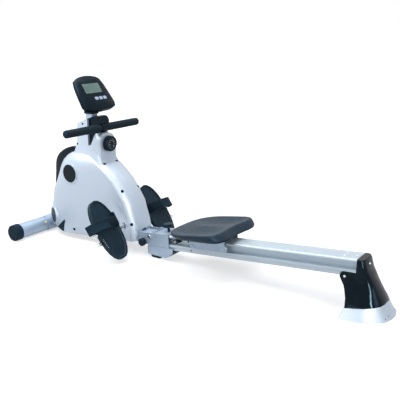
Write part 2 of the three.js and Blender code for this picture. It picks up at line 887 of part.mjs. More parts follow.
// Pull knob: a grip on a pin that locks the folded rail through the hinge ear
function pullKnob() {
  const earFace = -railHalfWidth;
  const gripFace = earFace - pullKnobStandOff;
  const outline = flutedOutline(pullKnobRadius, pullKnobFlutes, pullKnobFluteDepth, pullKnobX, pullKnobZ);
  const grip = plate(outline, gripFace - pullKnobLength, gripFace, [], pullKnobEdge, 1);
  const pin = rod(
    pullKnobPinRadius, vec(pullKnobX, gripFace - cutOver, pullKnobZ),
    vec(pullKnobX, earFace + earThickness + pullKnobTravel, pullKnobZ), smallPieces,
  );
  return join(grip, pin);
}
add('pull_knob', pullKnob(), blackPlastic);

// Housing shape: rows of [height share, front share, rear share, width share]
const housingLength = housingRearX - housingFrontX;
const housingHeight = housingTopZ - housingBottomZ;
const housingShares = [
  [0, 0.050, 1.000, 0.97], [0.07, 0.006, 0.997, 1], [0.15, 0.000, 0.993, 1], [0.25, 0.012, 0.985, 1],
  [0.33, 0.026, 0.966, 1], [0.43, 0.042, 0.948, 1], [0.52, 0.056, 0.922, 1], [0.60, 0.094, 0.880, 1],
  [0.68, 0.120, 0.843, 1], [0.76, 0.144, 0.782, 1], [0.83, 0.168, 0.722, 0.985],
  [0.885, 0.196, 0.665, 0.92], [0.925, 0.225, 0.610, 0.81], [0.96, 0.255, 0.560, 0.66],
  [0.985, 0.285, 0.540, 0.46], [1, 0.310, 0.530, 0.22],
];
const roundShares = { front: 0.45, rear: 0.2, edge: 0.3, crease: 0.15 };
const housingEdgeShares = [
  [0, 0.104], [0.077, 0.046], [0.153, 0], [0.30, 0], [0.475, 0.012], [0.92, 0.070], [1, 0.084],
];

// The pedal recess lies below a crease that falls from the rear ridge to the front
const creaseTop = flat(creaseTopX, creaseTopZ);
const creaseWay = flat(creaseLowX, creaseLowZ).sub(creaseTop).normalize();
const creaseXAt = (height) => creaseTopX + ((height - creaseTopZ) * creaseWay.x) / creaseWay.y;
const scallopTop = flat(scallopTopX, scallopTopZ);
const scallopLow = flat(scallopLowX, scallopLowZ);

function housingHalfAt(x, height, rearX) {
  const lean = mix(housingHalfWidth, housingRearHalfWidth, smoothStep(x, housingTaperStart, housingTaperEnd));
  const belowCrease = creaseWay.cross(flat(x, height).sub(creaseTop));
  const behindRidge = smoothStep(x, rearX - housingRidgeWidth, rearX - housingRidgeWidth / 2);
  const recess = housingRecessDepth * smoothStep(belowCrease, 0, housingRecessBlend) * (1 - behindRidge);
  const middle = scallopTop.clone().add(scallopLow).divideScalar(2);
  const axis = scallopLow.clone().sub(scallopTop).normalize();
  const fromMiddle = flat(x, height).sub(middle);
  const down = fromMiddle.dot(axis) / housingScallopHalfHeight;
  const across = axis.cross(fromMiddle) / housingScallopHalfWidth;
  const inside = Math.max(0, 1 - down ** 4 - across ** 2);
  return lean - recess - housingScallopDepth * Math.sqrt(inside);
}

// The hollow keeps clear of the recess and of the scallop, so its sides are plainer than the skin
function coreHalfAt(x) {
  const front = housingHalfWidth - housingWall;
  const middle = housingRearHalfWidth - housingRecessDepth - housingWall - housingCoreMargin;
  const rear = middle - housingScallopDepth;
  const taper = housingTaperEnd - housingTaperStart;
  const drumShare = smoothStep(x, housingTaperStart - taper / 3, housingTaperEnd - taper / 2);
  const nearDrum = mix(front, middle, drumShare);
  const scallopFront = scallopTopX - housingScallopHalfWidth;
  return mix(nearDrum, rear, smoothStep(x, scallopFront - taper / 3, scallopFront));
}

// One half ring of the housing at a height share, from the front seam round to the rear seam
function housingHalfRing(share, grow, counts, bottomDrop, core) {
  const front = housingFrontX + housingLength * readCurve(housingShares, share, 1) - grow;
  const rear = housingFrontX + housingLength * readCurve(housingShares, share, 2) + grow;
  const widthShare = readCurve(housingShares, share, 3);
  const height = housingBottomZ + housingHeight * share;
  const round = Math.min(housingFrontRound, (rear - front) * roundShares.front);
  const rearRound = Math.min(housingRearRound, (rear - front) * roundShares.rear);
  const ringPoints = [];
  const put = (x, y) => {
    const edge = readCurve(housingEdgeShares, (x - housingFrontX) / housingLength, 1) * housingHeight;
    const lift = edge * Math.max(0, 1 - share / roundShares.edge);
    const drop = share === 0 ? bottomDrop : 0;
    ringPoints.push(vec(x, y, height + lift - drop + (share === 1 ? grow : 0)));
  };
  const sideAt = (x) => (core ? coreHalfAt(x) : housingHalfAt(x, height, rear) + grow) * widthShare;
  for (let step = 0; step <= counts.front; step += 1) {
    const angle = (Math.PI / 2) * (step / counts.front);
    const x = front + round * (1 - Math.cos(angle));
    put(x, sideAt(front + round) * Math.sin(angle));
  }
  const [sideStart, sideEnd] = [front + round, rear - rearRound];
  const sideLength = sideEnd - sideStart;
  const creaseX = THREE.MathUtils.clamp(
    creaseXAt(height), sideStart + sideLength * roundShares.crease, sideEnd - sideLength * roundShares.crease,
  );
  for (let step = 1; step <= counts.ahead; step += 1) put(mix(sideStart, creaseX, step / counts.ahead), 0);
  for (let step = 1; step <= counts.behind; step += 1) put(mix(creaseX, sideEnd, step / counts.behind), 0);
  ringPoints.slice(counts.front + 1).forEach((p) => { p.y = sideAt(p.x); });
  const rearHalf = sideAt(sideEnd);
  const crownAt = (y) => housingRearCrown * (1 - (y / rearHalf) ** 2);
  for (let step = 1; step <= counts.rear; step += 1) {
    const angle = (Math.PI / 2) * (step / counts.rear);
    const y = rearHalf - rearRound * (1 - Math.cos(angle));
    put(rear - rearRound * (1 - Math.sin(angle)) - housingRearCrown + crownAt(y) * Math.sin(angle), y);
  }
  for (let step = 1; step <= counts.back; step += 1) {
    const y = (rearHalf - rearRound) * (1 - step / counts.back);
    put(rear - housingRearCrown + crownAt(y), y);
  }
  return ringPoints;
}

function housingBody(grow, levels, counts, bottomDrop = 0, core = false) {
  const rings = levels.map((share) => {
    const half = housingHalfRing(share, grow, counts, bottomDrop, core);
    const other = half.slice(1, -1).reverse().map((p) => vec(p.x, -p.y, p.z));
    return [...half, ...other];
  });
  return loft(rings);
}
const outerLevelShares = [0, 0.07, 0.16, 0.27, 0.38, 0.49, 0.6, 0.7, 0.79, 0.86, 0.92, 0.965, 1];
const coreLevelShares = [0, 0.15, 0.33, 0.51, 0.69, 0.84, 0.94, 1];
const outerCounts = { front: 5, ahead: 4, behind: 6, rear: 3, back: 2 };
const coreCounts = { front: 3, ahead: 1, behind: 4, rear: 2, back: 1 };
const housingOuter = solid(housingBody(0, outerLevelShares, outerCounts));
const coreDrop = housingWall + cutOver;
const housingCore = solid(housingBody(-housingWall, coreLevelShares, coreCounts, coreDrop, true));
const housingEnvelope = solid(housingBody(fitGap, outerLevelShares, outerCounts));

// Mast and its cover. Rows of the cover are [height share, front, rear and width share from foot to neck]
const mastFrontX = mastX - mastDepth / 2;
const mastRearX = mastX + mastDepth / 2;
const coverHeight = coverTopZ - coverBottomZ;
const coverShares = [
  [0, 0, 0, 0], [0.1, 0.17, 0.2, 0.29], [0.2, 0.37, 0.43, 0.62], [0.32, 0.57, 0.63, 0.88],
  [0.45, 0.73, 0.77, 1], [0.65, 0.9, 1, 1], [1, 1, 1, 1],
];
function coverRing(share, grow) {
  const front = mix(coverFootFrontX, coverNeckFrontX, readCurve(coverShares, share, 1)) - grow;
  const rear = mix(coverFootRearX, coverNeckRearX, readCurve(coverShares, share, 2)) + grow;
  const half = mix(coverFootHalfWidth, coverNeckHalfWidth, readCurve(coverShares, share, 3)) + grow;
  const outline = rounded([
    [front, -half, coverCorner], [rear, -half, coverCorner],
    [rear, half, coverCorner], [front, half, coverCorner],
  ], 3);
  return outline.map((p) => vec(p.x, p.y, coverBottomZ + coverHeight * share));
}

function coverBody(grow, below = 0) {
  const rings = coverShares.map(([share]) => coverRing(share, grow));
  rings[0].forEach((p) => { p.z -= below; });
  return loft(rings);
}

function bossOutline(grow) {
  const half = bossHalfWidth + grow;
  const foot = coverBottomZ - cutOver;
  const outline = [flat(-half, foot), flat(half, foot)];
  const pieces = smallPieces;
  for (let step = 0; step <= pieces; step += 1) {
    const angle = (Math.PI * step) / pieces;
    outline.push(flat(half * Math.cos(angle), bossCentreZ + half * Math.sin(angle)));
  }
  return outline;
}

// The cover's top slopes up to the cradle, and a bay behind the slope leaves room for the handle
function aboveCover(drop) {
  const slope = (coverSlopeRearZ - coverSlopeFrontZ) / (coverBayFrontX - coverNeckFrontX);
  const lead = coverFootHalfWidth;
  const top = coverTopZ + coverHeight;
  const bayX = coverBayFrontX - drop;
  const outline = [
    flat(coverNeckFrontX - lead, coverSlopeFrontZ - slope * lead - drop),
    flat(bayX, coverSlopeFrontZ + slope * (bayX - coverNeckFrontX) - drop),
    flat(bayX, coverBayLowZ - drop), flat(bayX + coverBayFloor, coverBayLowZ - drop),
    flat(coverBayRearX, coverBayRearZ + bossGap - drop),
    flat(coverFootRearX, coverBayRearZ + bossGap - drop), flat(coverFootRearX, top),
    flat(coverNeckFrontX - lead, top),
  ];
  return plate(outline, -housingHalfWidth, housingHalfWidth);
}

// Cradle block: a notch for the handle bar, and a slot for the strap and the mast
const cradleSideShares = [
  [0, 0.897, 0.08], [0.42, 1, 0.3], [0.84, 1, 0.28], [0.98, 0.87, 0.1], [0.99, 0.813, 0],
  [0.77, 0.40, 0.05], [0.38, 0.03, 0.06], [0.14, 0, 0.03], [0.06, 0.38, 0],
];
function cradleOutline(grow) {
  const width = cradleRearX - cradleFrontX + 2 * grow;
  const height = cradleTopZ - cradleBottomZ + 2 * grow;
  const corners = cradleSideShares.map(([x, z, corner]) => [
    cradleFrontX - grow + width * x, cradleBottomZ - grow + height * z, corner * width,
  ]);
  return rounded(corners, 3);
}
function cradleBlank(grow) {
  const half = cradleHalfWidth + grow;
  return plate(cradleOutline(grow), -half, half);
}

const notchRadius = gripRadius + cradleNotchGap;
function cradle() {
  const half = cradleHalfWidth + cutOver;
  const notch = join(
    rod(notchRadius, vec(handleX, -half, handleZ), vec(handleX, half, handleZ), plainPieces),
    block(handleX, cradleRearX + notchRadius, -half, half, handleZ - notchRadius, handleZ + notchRadius),
  );
  const slotTopZ = handleZ + clampRadius + fitGap;
  const slot = block(
    cradleFrontX - cutOver, cradleRearX + cutOver, -cradleSlotHalfWidth, cradleSlotHalfWidth,
    cradleBottomZ - cutOver, slotTopZ,
  );
  const mastRoom = block(
    cradleFrontX - cutOver, mastRearX + fitGap, -cradleSlotHalfWidth, cradleSlotHalfWidth,
    cradleBottomZ - cutOver, cradleTopZ + cutOver,
  );
  const pinBore = rod(
    guidePinRadius + fitGap, vec(rollerX, -guideRollerHalfLength - guidePinReach - fitGap, rollerZ),
    vec(rollerX, guideRollerHalfLength + guidePinReach + fitGap, rollerZ), smallPieces,
  );
  return cut(cradleBlank(0), notch, slot, mastRoom, pinBore);
}
add('handle_cradle', cradle(), blackPlastic);

function mastTube() {
  const half = mastWidth / 2;
  const outer = rounded([
    [mastFrontX, -half, mastCorner], [mastRearX, -half, mastCorner],
    [mastRearX, half, mastCorner], [mastFrontX, half, mastCorner],
  ], 3);
  const bore = [
    flat(mastFrontX + mastWall, -half + mastWall), flat(mastRearX - mastWall, -half + mastWall),
    flat(mastRearX - mastWall, half - mastWall), flat(mastFrontX + mastWall, half - mastWall),
  ];
  return slab(outer, beamTopAt(mastRearX) + fitGap, mastTopZ, [bore]);
}
add('mast_tube', mastTube(), paintedSteel);


// Shells: the housing body made hollow, parted on the middle plane, with seats for the round caps
const cornerFacing = (side) => vec(-Math.cos(cornerCapTurn), side * Math.sin(cornerCapTurn), 0);
const sideCapFace = (side) => vec(sideCapX, side * (housingHalfWidth + capRimProud), sideCapZ);
const cornerCapFace = (side) => {
  const onSkin = vec(cornerCapX, side * cornerCapY, cornerCapZ);
  return onSkin.addScaledVector(cornerFacing(side), capRimProud);
};
const halfSpace = (side) => {
  const reach = housingHeight;
  const [lowY, highY] = side > 0 ? [housingSeam / 2, reach] : [-reach, -housingSeam / 2];
  return block(housingFrontX - reach, housingRearX + reach, lowY, highY, -reach, housingTopZ + reach);
};

// A round seat is [rim, floor, bore]: rods along the facing, behind and in front of the cap
function capSeat(face, facing, radius) {
  const at = (distance) => face.clone().addScaledVector(facing, distance);
  const depth = capThickness + fitGap;
  return {
    rim: rod(radius + capRimWidth, at(-capRimDepth), at(0)),
    floor: rod(radius + capRimWidth, at(-depth - capFloor), at(-depth)),
    bore: rod(radius + fitGap, at(-depth), at(capRimDepth), finePieces),
  };
}

const archShares = [[0, 0.27], [0.9, 1], [1, 0.91], [0.73, 0]];
const archCornerShare = 2;
const archOutline = (grow) => {
  const [width, height] = [panRearX - panFrontX, archTopZ - archBottomZ];
  const middle = flat(panFrontX + width / 2, archBottomZ + height / 2);
  return archShares.map(([x, z]) => {
    const corner = flat(panFrontX + width * x, archBottomZ + height * z);
    return corner.addScaledVector(corner.clone().sub(middle).normalize(), grow * archCornerShare);
  });
};

function shell(side) {
  const seats = [
    capSeat(sideCapFace(side), vec(0, side, 0), sideCapRadius),
    capSeat(cornerCapFace(side), cornerFacing(side), cornerCapRadius),
  ];
  const reach = side * (housingHalfWidth + cutOver + capRimProud);
  const roomRadius = drivePulleyRadius + beltThickness + drumRoomGap;
  const drumRoom = crossRod(roomRadius, drumX, drumZ, -drumRoomHalfWidth, drumRoomHalfWidth, plainPieces);
  const skin = cut(join(housingOuter, ...seats.map((seat) => seat.rim)), housingCore, drumRoom);
  const walls = join(skin, ...seats.map((seat) => seat.floor));
  const beamRoom = beamHalfWidth + slideGap;
  const earRoom = railHalfWidth + slideGap;
  const [roomFrontX, roomRearX] = [housingFrontX - cutOver, housingRearX + cutOver];
  const beamRoomSide = [
    flat(roomFrontX, -cutOver), flat(roomRearX, -cutOver), flat(roomRearX, beamTopAt(roomRearX) + slideGap),
    flat(roomFrontX, beamTopAt(roomFrontX) + slideGap),
  ];
  const mastRoom = shaftPlateY + shaftPlateThickness;
  const openings = [
    ...seats.map((seat) => seat.bore),
    block(
      mastFrontX - coverCorner, bossFaceX - coverCorner, -mastRoom, mastRoom, coverBottomZ,
      housingTopZ + cutOver,
    ),
    crossRod(crossbarRadius + crossbarClearance, crossbarX, crossbarZ, 0, reach, plainPieces),
    plate(beamRoomSide, -beamRoom, beamRoom),
    block(
      pivotX - earFrontFromPivot - slideGap, housingRearX + cutOver, -earRoom, earRoom, -cutOver,
      pivotZ + earRadius + slideGap,
    ),
    plate(archOutline(fitGap), Math.min(side * beamRoom, reach), Math.max(side * beamRoom, reach)),
  ];
  return mainPiece(keep(cut(walls, ...openings), halfSpace(side)));
}
sides.forEach(([name, side]) => add(`${name}_shell`, shell(side), silverPlastic));

function roundCap(face, facing, radius) {
  const profile = [
    [0, -capThickness], [radius, -capThickness], [radius, -capRound], [radius - capRound, 0], [0, 0],
  ];
  return turned(profile, face, facing, finePieces);
}
sides.forEach(([name, side]) => {
  add(`side_cap_${name}`, roundCap(sideCapFace(side), vec(0, side, 0), sideCapRadius), glossBlack);
  add(`corner_cap_${name}`, roundCap(cornerCapFace(side), cornerFacing(side), cornerCapRadius), glossBlack);
});

// Belly pan: a plate over the beam, with a flap in the arch of each shell
function bellyPan() {
  const floorZ = beamTopAt(panRearX) + slideGap;
  const rearX = wheelX - axleArmRadius - slideGap;
  const farY = housingHalfWidth - panInset;
  const nearY = farY - panFlapWidth;
  const floorY = (nearY + farY) / 2;
  const floor = block(panFrontX + panInset, rearX, -floorY, floorY, floorZ, floorZ + panThickness);
  const flaps = sides.map(([, side]) => {
    const [innerY, outerY] = [side * nearY, side * farY];
    return plate(archOutline(0), Math.min(innerY, outerY), Math.max(innerY, outerY));
  });
  return join(floor, ...flaps);
}
add('front_belly_pan', bellyPan(), blackPlastic);

// Front guard: a glossy band that wraps the nose of the housing, crowned across its width
const guardShares = [
  [0.356, 1.034], [0.280, 1.0145], [0.216, 0.976], [0.1585, 0.920], [0.1214, 0.850], [0.108, 0.772],
  [0.103, 0.680], [0.0877, 0.525],
];
const guardRingShares = [-1, -0.97, -0.9, -0.5, 0, 0.5, 0.9, 0.97, 1];
function frontGuard() {
  const corners = guardShares.map(([x, z]) => flat(
    housingFrontX + housingLength * x, housingBottomZ + housingHeight * z,
  ));
  const curve = new THREE.SplineCurve(corners).getPoints(smallPieces);
  const [top, tip] = [corners[0], corners[corners.length - 1]];
  const root = flat(top.x, (top.y + tip.y) / 2);
  const flatShare = 1 - guardEdgeRound / guardHalfWidth;
  const rings = guardRingShares.map((share) => {
    const overEdge = Math.max(0, (Math.abs(share) - flatShare) / (1 - flatShare));
    const inset = guardEdgeRound * (1 - Math.sqrt(1 - overEdge ** 2));
    const crown = guardCrown * (1 - share ** 2);
    const outer = curve.map((p) => {
      const inward = root.clone().sub(p).normalize();
      return vec(p.x + inward.x * (inset - crown), share * guardHalfWidth, p.y + inward.y * inset);
    });
    return [...outer, vec(top.x, share * guardHalfWidth, tip.y)];
  });
  return mainPiece(cut(loft(rings), housingEnvelope, coverBody(fitGap)));
}
add('front_guard', frontGuard(), glossBlack);

// Mast cover: two halves with a round boss for the dial, hollow round the mast and the strap
function mastCover(side) {
  const boss = drawn(bossOutline(0), bossFrontX, bossFaceX);
  const skin = cut(join(coverBody(0), boss), aboveCover(0), housingEnvelope);
  const hollow = cut(coverBody(-coverWall, coverWall), aboveCover(coverWall));
  const half = mastWidth / 2 + slideGap;
  const mastRoom = block(
    mastFrontX - slideGap, mastRearX + slideGap, -half, half, coverBottomZ, coverTopZ,
  );
  const strapRoom = block(
    mastRearX, bossFrontX, -strapRoomHalfWidth, strapRoomHalfWidth, coverBayLowZ - bossHalfWidth, coverTopZ,
  );
  const stemRoom = rod(
    dialStemRadius + fitGap, vec(bossFaceX - dialStemLength - fitGap, 0, bossCentreZ),
    vec(bossFaceX + cutOver, 0, bossCentreZ), smallPieces,
  );
  const whole = cut(skin, hollow, mastRoom, strapRoom, stemRoom, cradleBlank(fitGap));
  return mainPiece(keep(whole, halfSpace(side)));
}
sides.forEach(([name, side]) => add(`mast_cover_${name}`, mastCover(side), silverPlastic));

// Tension dial: a fluted disc on a stem in the boss
function tensionDial() {
  const low = bossFaceX + fitGap;
  const outline = flutedOutline(dialRadius, dialFlutes, dialFluteDepth, 0, bossCentreZ);
  const disc = drawn(outline, low, low + dialLength, [], dialEdge, 1);
  const stemStart = vec(bossFaceX - dialStemLength, 0, bossCentreZ);
  const stem = rod(dialStemRadius, stemStart, vec(low + dialEdge, 0, bossCentreZ), smallPieces);
  return join(disc, stem);
}
add('tension_dial', tensionDial(), blackPlastic);

// Handle: a steel tube, two foam grips with closed ends, and the clamp that takes the strap
const handleTubeHalf = handleLength / 2 - gripEnd - fitGap;
function handleBar() {
  const inner = handleTubeRadius - handleTubeWall;
  return crossRing(inner, handleTubeRadius, handleX, handleZ, handleTubeHalf);
}
add('handle_bar', handleBar(), brightSteel);

function grip(side) {
  const length = handleLength / 2 - gripInner;
  const bore = handleTubeRadius + fitGap;
  const profile = [
    [bore, 0], [gripRadius - gripRound / 2, 0], [gripRadius, gripRound / 2], [gripRadius, length - gripRound],
    [gripRadius - gripRound, length], [0, length], [0, length - gripEnd], [bore, length - gripEnd], [bore, 0],
  ];
  return turned(profile, vec(handleX, side * gripInner, handleZ), vec(0, side, 0), plainPieces);
}
sides.forEach(([name, side]) => add(`grip_${name}`, grip(side), blackFoam));

const strapRun = guideRollerRadius + fitGap + strapThickness / 2;
function handleClamp() {
  const body = crossRing(handleTubeRadius + fitGap, clampRadius, handleX, handleZ, clampHalfWidth);
  const half = strapThickness / 2 + fitGap;
  const slotZ = rollerZ + strapRun;
  const slot = block(
    handleX - clampRadius - cutOver, handleX - clampRadius + clampSlotDepth, -strapHalfWidth - fitGap,
    strapHalfWidth + fitGap, slotZ - half, slotZ + half,
  );
  return cut(body, slot);
}
add('handle_clamp', handleClamp(), blackPlastic);

// Guide roller with its two stub pins in the cradle
function guideRoller() {
  const reach = guideRollerHalfLength + guidePinReach;
  const flange = guideRollerHalfLength - fitGap;
  const profile = [
    [0, -reach], [guidePinRadius, -reach], [guidePinRadius, -flange], [guideRollerRadius, -flange],
    [guideRollerRadius, flange], [guidePinRadius, flange], [guidePinRadius, reach], [0, reach],
  ];
  return turned(profile, vec(rollerX, 0, rollerZ), alongY, smallPieces);
}
add('guide_roller', guideRoller(), whiteNylon);

// Pull strap: from the front of the drum, up to the roller, over it and into the clamp
function pullStrap() {
  const drum = flat(drumX, drumZ);
  const roller = flat(rollerX, rollerZ);
  const drumRun = drumCoilRadius + fitGap + strapThickness / 2;
  const way = roller.clone().sub(drum);
  const facing = way.angle() + Math.acos((drumRun - strapRun) / way.length());
  const pieces = smallPieces / 2;
  const edge = (offset) => {
    const at = (middle, radius, angle) => flat(
      middle.x + (radius + offset) * Math.cos(angle), middle.y + (radius + offset) * Math.sin(angle),
    );
    const overRoller = Array.from({ length: pieces + 1 }, (_, index) => (
      at(roller, strapRun, mix(facing, Math.PI / 2, index / pieces))
    ));
    const end = flat(handleX - clampRadius + clampSlotDepth - fitGap, rollerZ + strapRun + offset);
    return [at(drum, drumRun, facing), ...overRoller, end];
  };
  const half = strapThickness / 2;
  return plate([...edge(half), ...edge(-half).reverse()], -strapHalfWidth, strapHalfWidth);
}
add('pull_strap', pullStrap(), blackWebbing);

// Console: a bezel, a tray behind it with the neck that grips the mast, a screen and three buttons
const consoleFrame = new THREE.Group();
consoleFrame.position.set(consoleFaceX, 0, consoleFaceZ);
consoleFrame.rotation.y = Math.PI / 2 - consoleTilt;
consoleFrame.updateMatrix();
machine.add(consoleFrame);

// Half outline of the console: shares of its height from the crown, and of its half width
const consoleShares = [
  [0, 0], [0.012, 0.3], [0.05, 0.6], [0.11, 0.775], [0.27, 0.875], [0.5, 0.94], [0.83, 1], [0.93, 0.93],
  [0.985, 0.62], [1, 0],
];
function consoleOutline(scale, inset) {
  const length = consoleTopRise + consoleDrop;
  const half = consoleShares.map(([down, out]) => flat(length * down - length / 2, consoleHalfWidth * out));
  const curve = new THREE.SplineCurve(half).getPoints(plainPieces / 2);
  const other = curve.slice(1, -1).reverse().map((p) => flat(p.x, -p.y));
  const middleX = (consoleDrop - consoleTopRise) / 2;
  return [...curve, ...other].map((p) => {
    const reach = p.length();
    return p.clone().multiplyScalar((scale * (reach - inset)) / reach).add(flat(middleX, 0));
  });
}
const consoleRing = (scale, inset, depth) => consoleOutline(scale, inset).map((p) => vec(p.x, p.y, -depth));

function buttonBlank(index, grow, lowZ, highZ) {
  const middleY = buttonFirstY + buttonPitch * index;
  const [halfX, halfY] = [buttonHeight / 2 + grow, buttonWidth / 2 + grow];
  const outline = rounded([
    [buttonDrop - halfX, middleY - halfY, buttonCorner], [buttonDrop + halfX, middleY - halfY, buttonCorner],
    [buttonDrop + halfX, middleY + halfY, buttonCorner], [buttonDrop - halfX, middleY + halfY, buttonCorner],
  ], 2);
  return slab(outline, lowZ, highZ);
}
const buttonNames = ['left', 'middle', 'right'];
const buttonLow = buttonProud - buttonThickness;

function consoleFront() {
  const body = loft([
    consoleRing(1, 0, consoleFrontThickness), consoleRing(1, 0, consoleEdgeRound),
    consoleRing(1, consoleEdgeRound / 3, consoleEdgeRound / 3), consoleRing(1, consoleEdgeRound, 0),
  ]);
  const screenRoom = block(0, screenHeight, -screenHalfWidth, screenHalfWidth, -screenDepth, cutOver);
  const wells = buttonNames.map((_, index) => buttonBlank(
    index, slideGap, buttonLow - buttonTravel - fitGap, cutOver,
  ));
  return cut(body, screenRoom, ...wells);
}
add('console_front', consoleFront(), glossBlack, consoleFrame);

const lensHalfWidth = screenHalfWidth - fitGap;
const lens = block(
  fitGap, screenHeight - fitGap, -lensHalfWidth, lensHalfWidth, -screenDepth + fitGap, 0,
);
add('display_lens', lens, displayGlass, consoleFrame);

buttonNames.forEach((name, index) => {
  add(`button_${name}`, buttonBlank(index, 0, buttonLow, buttonProud), buttonPlastic, consoleFrame);
});

function consoleBack() {
  const front = consoleFrontThickness + fitGap;
  const back = front + consoleBackThickness;
  const tray = loft([
    consoleRing(consoleBackShare, 0, back),
    consoleRing((1 + consoleBackShare) / 2, 0, back - consoleEdgeRound),
    consoleRing(1, 0, (front + back) / 2), consoleRing(1, 0, front),
  ]);
  const hollow = loft([
    consoleRing(consoleBackShare, consoleBackWall, back - consoleBackWall),
    consoleRing(1, consoleBackWall, (front + back) / 2), consoleRing(1, consoleBackWall, front - cutOver),
  ]);
  const skin = geometryOf(cut(tray, hollow)).applyMatrix4(consoleFrame.matrix);
  const onBack = vec(0, 0, neckWeld - back).applyMatrix4(consoleFrame.matrix);
  const backAt = (x) => flat(x, onBack.z - (x - onBack.x) / Math.tan(consoleTilt));
  const neck = plate(
    [flat(neckFrontX, neckBottomZ), flat(neckRearX, neckBottomZ), backAt(neckRearX), backAt(neckFrontX)],
    -neckHalfWidth, neckHalfWidth,
  );
  const half = mastWidth / 2 + fitGap;
  const mastRoom = block(
    mastFrontX - fitGap, mastRearX + fitGap, -half, half, neckBottomZ - cutOver, mastTopZ + fitGap,
  );
  return cut(join(skin, neck), mastRoom);
}
add('console_back', consoleBack(), blackPlastic);

// Flywheel with its shaft, and the small pulley on it
function onShaft(profile, x, z, pieces = innerPieces) {
  return turned(profile, vec(x, 0, z), alongY, pieces);
}
const plateOuterY = shaftPlateY + shaftPlateThickness;
const beltFarY = beltY + beltWidth;
const shaftEndY = beltFarY + pulleyFlangeWidth + axleOverrun;

function flywheel() {
  const rimInner = wheelRadius - wheelRimDepth;
  const farY = plateOuterY + axleOverrun;
  const hubY = wheelHalfRim + pulleyFlangeWidth;
  return onShaft([
    [0, -farY], [shaftRadius, -farY], [shaftRadius, -hubY], [wheelHubRadius, -hubY],
    [wheelHubRadius, -wheelHalfWeb], [rimInner, -wheelHalfWeb], [rimInner, -wheelHalfRim],
    [wheelRadius, -wheelHalfRim], [wheelRadius, wheelHalfRim], [rimInner, wheelHalfRim],
    [rimInner, wheelHalfWeb], [wheelHubRadius, wheelHalfWeb], [wheelHubRadius, hubY],
    [shaftRadius, hubY], [shaftRadius, shaftEndY], [0, shaftEndY],
  ], wheelX, wheelZ);
}
add('flywheel', flywheel(), castIron);

function smallPulley() {
  const [bore, lowY, highY] = [shaftRadius + fitGap, beltY - pulleyFlangeWidth, beltFarY + pulleyFlangeWidth];
  const flange = smallPulleyRadius + pulleyFlange;
  return onShaft([
    [bore, lowY], [flange, lowY], [flange, beltY], [smallPulleyRadius, beltY], [smallPulleyRadius, beltFarY],
    [flange, beltFarY], [flange, highY], [bore, highY], [bore, lowY],
  ], wheelX, wheelZ);
}
add('flywheel_pulley', smallPulley(), blackPlastic);

// Drive pulley with the shaft that also carries the strap drum and winds the recoil spring
const springCaseY = -(plateOuterY + fitGap);
function drivePulley() {
  const rimInner = drivePulleyRadius - pulleyRimDepth;
  const farY = springCaseY - springCaseWidth / 2;
  const middleY = beltY + beltWidth / 2;
  const [webLow, webHigh] = [middleY - pulleyHalfWeb, middleY + pulleyHalfWeb];
  return onShaft([
    [0, farY], [shaftRadius, farY], [shaftRadius, beltY], [pulleyHubRadius, beltY],
    [pulleyHubRadius, webLow], [rimInner, webLow], [rimInner, beltY], [drivePulleyRadius, beltY],
    [drivePulleyRadius, beltFarY], [rimInner, beltFarY], [rimInner, webHigh],
    [pulleyHubRadius, webHigh], [pulleyHubRadius, beltFarY], [0, beltFarY],
  ], drumX, drumZ);
}
add('drive_pulley', drivePulley(), blackPlastic);

function strapDrum() {
  const bore = shaftRadius + fitGap;
  const farY = drumHalfWidth + drumFlangeWidth;
  return onShaft([
    [bore, -farY], [drumFlangeRadius, -farY], [drumFlangeRadius, -drumHalfWidth],
    [drumCoilRadius, -drumHalfWidth], [drumCoilRadius, drumHalfWidth], [drumFlangeRadius, drumHalfWidth],
    [drumFlangeRadius, farY], [bore, farY], [bore, -farY],
  ], drumX, drumZ);
}
add('strap_drum', strapDrum(), blackPlastic);

function springCase() {
  const [bore, closedY] = [shaftRadius + fitGap, springCaseY - springCaseWidth];
  return onShaft([
    [0, closedY], [springCaseRadius - capRound, closedY], [springCaseRadius, closedY + capRound],
    [springCaseRadius, springCaseY], [bore, springCaseY], [bore, springCaseY - springCaseWidth / 2 - fitGap],
    [0, springCaseY - springCaseWidth / 2 - fitGap],
  ], drumX, drumZ);
}
add('spring_case', springCase(), blackPlastic);

function driveBelt() {
  const runOn = (pulleyRadius, grow) => pulleyRadius + slideGap + grow;
  const band = (grow) => beltOutline(
    drumX, drumZ, runOn(drivePulleyRadius, grow), wheelX, wheelZ, runOn(smallPulleyRadius, grow), finePieces,
  );
  return plate(band(beltThickness), beltY + fitGap, beltFarY - fitGap, [band(0)]);
}
add('drive_belt', driveBelt(), blackRubber);

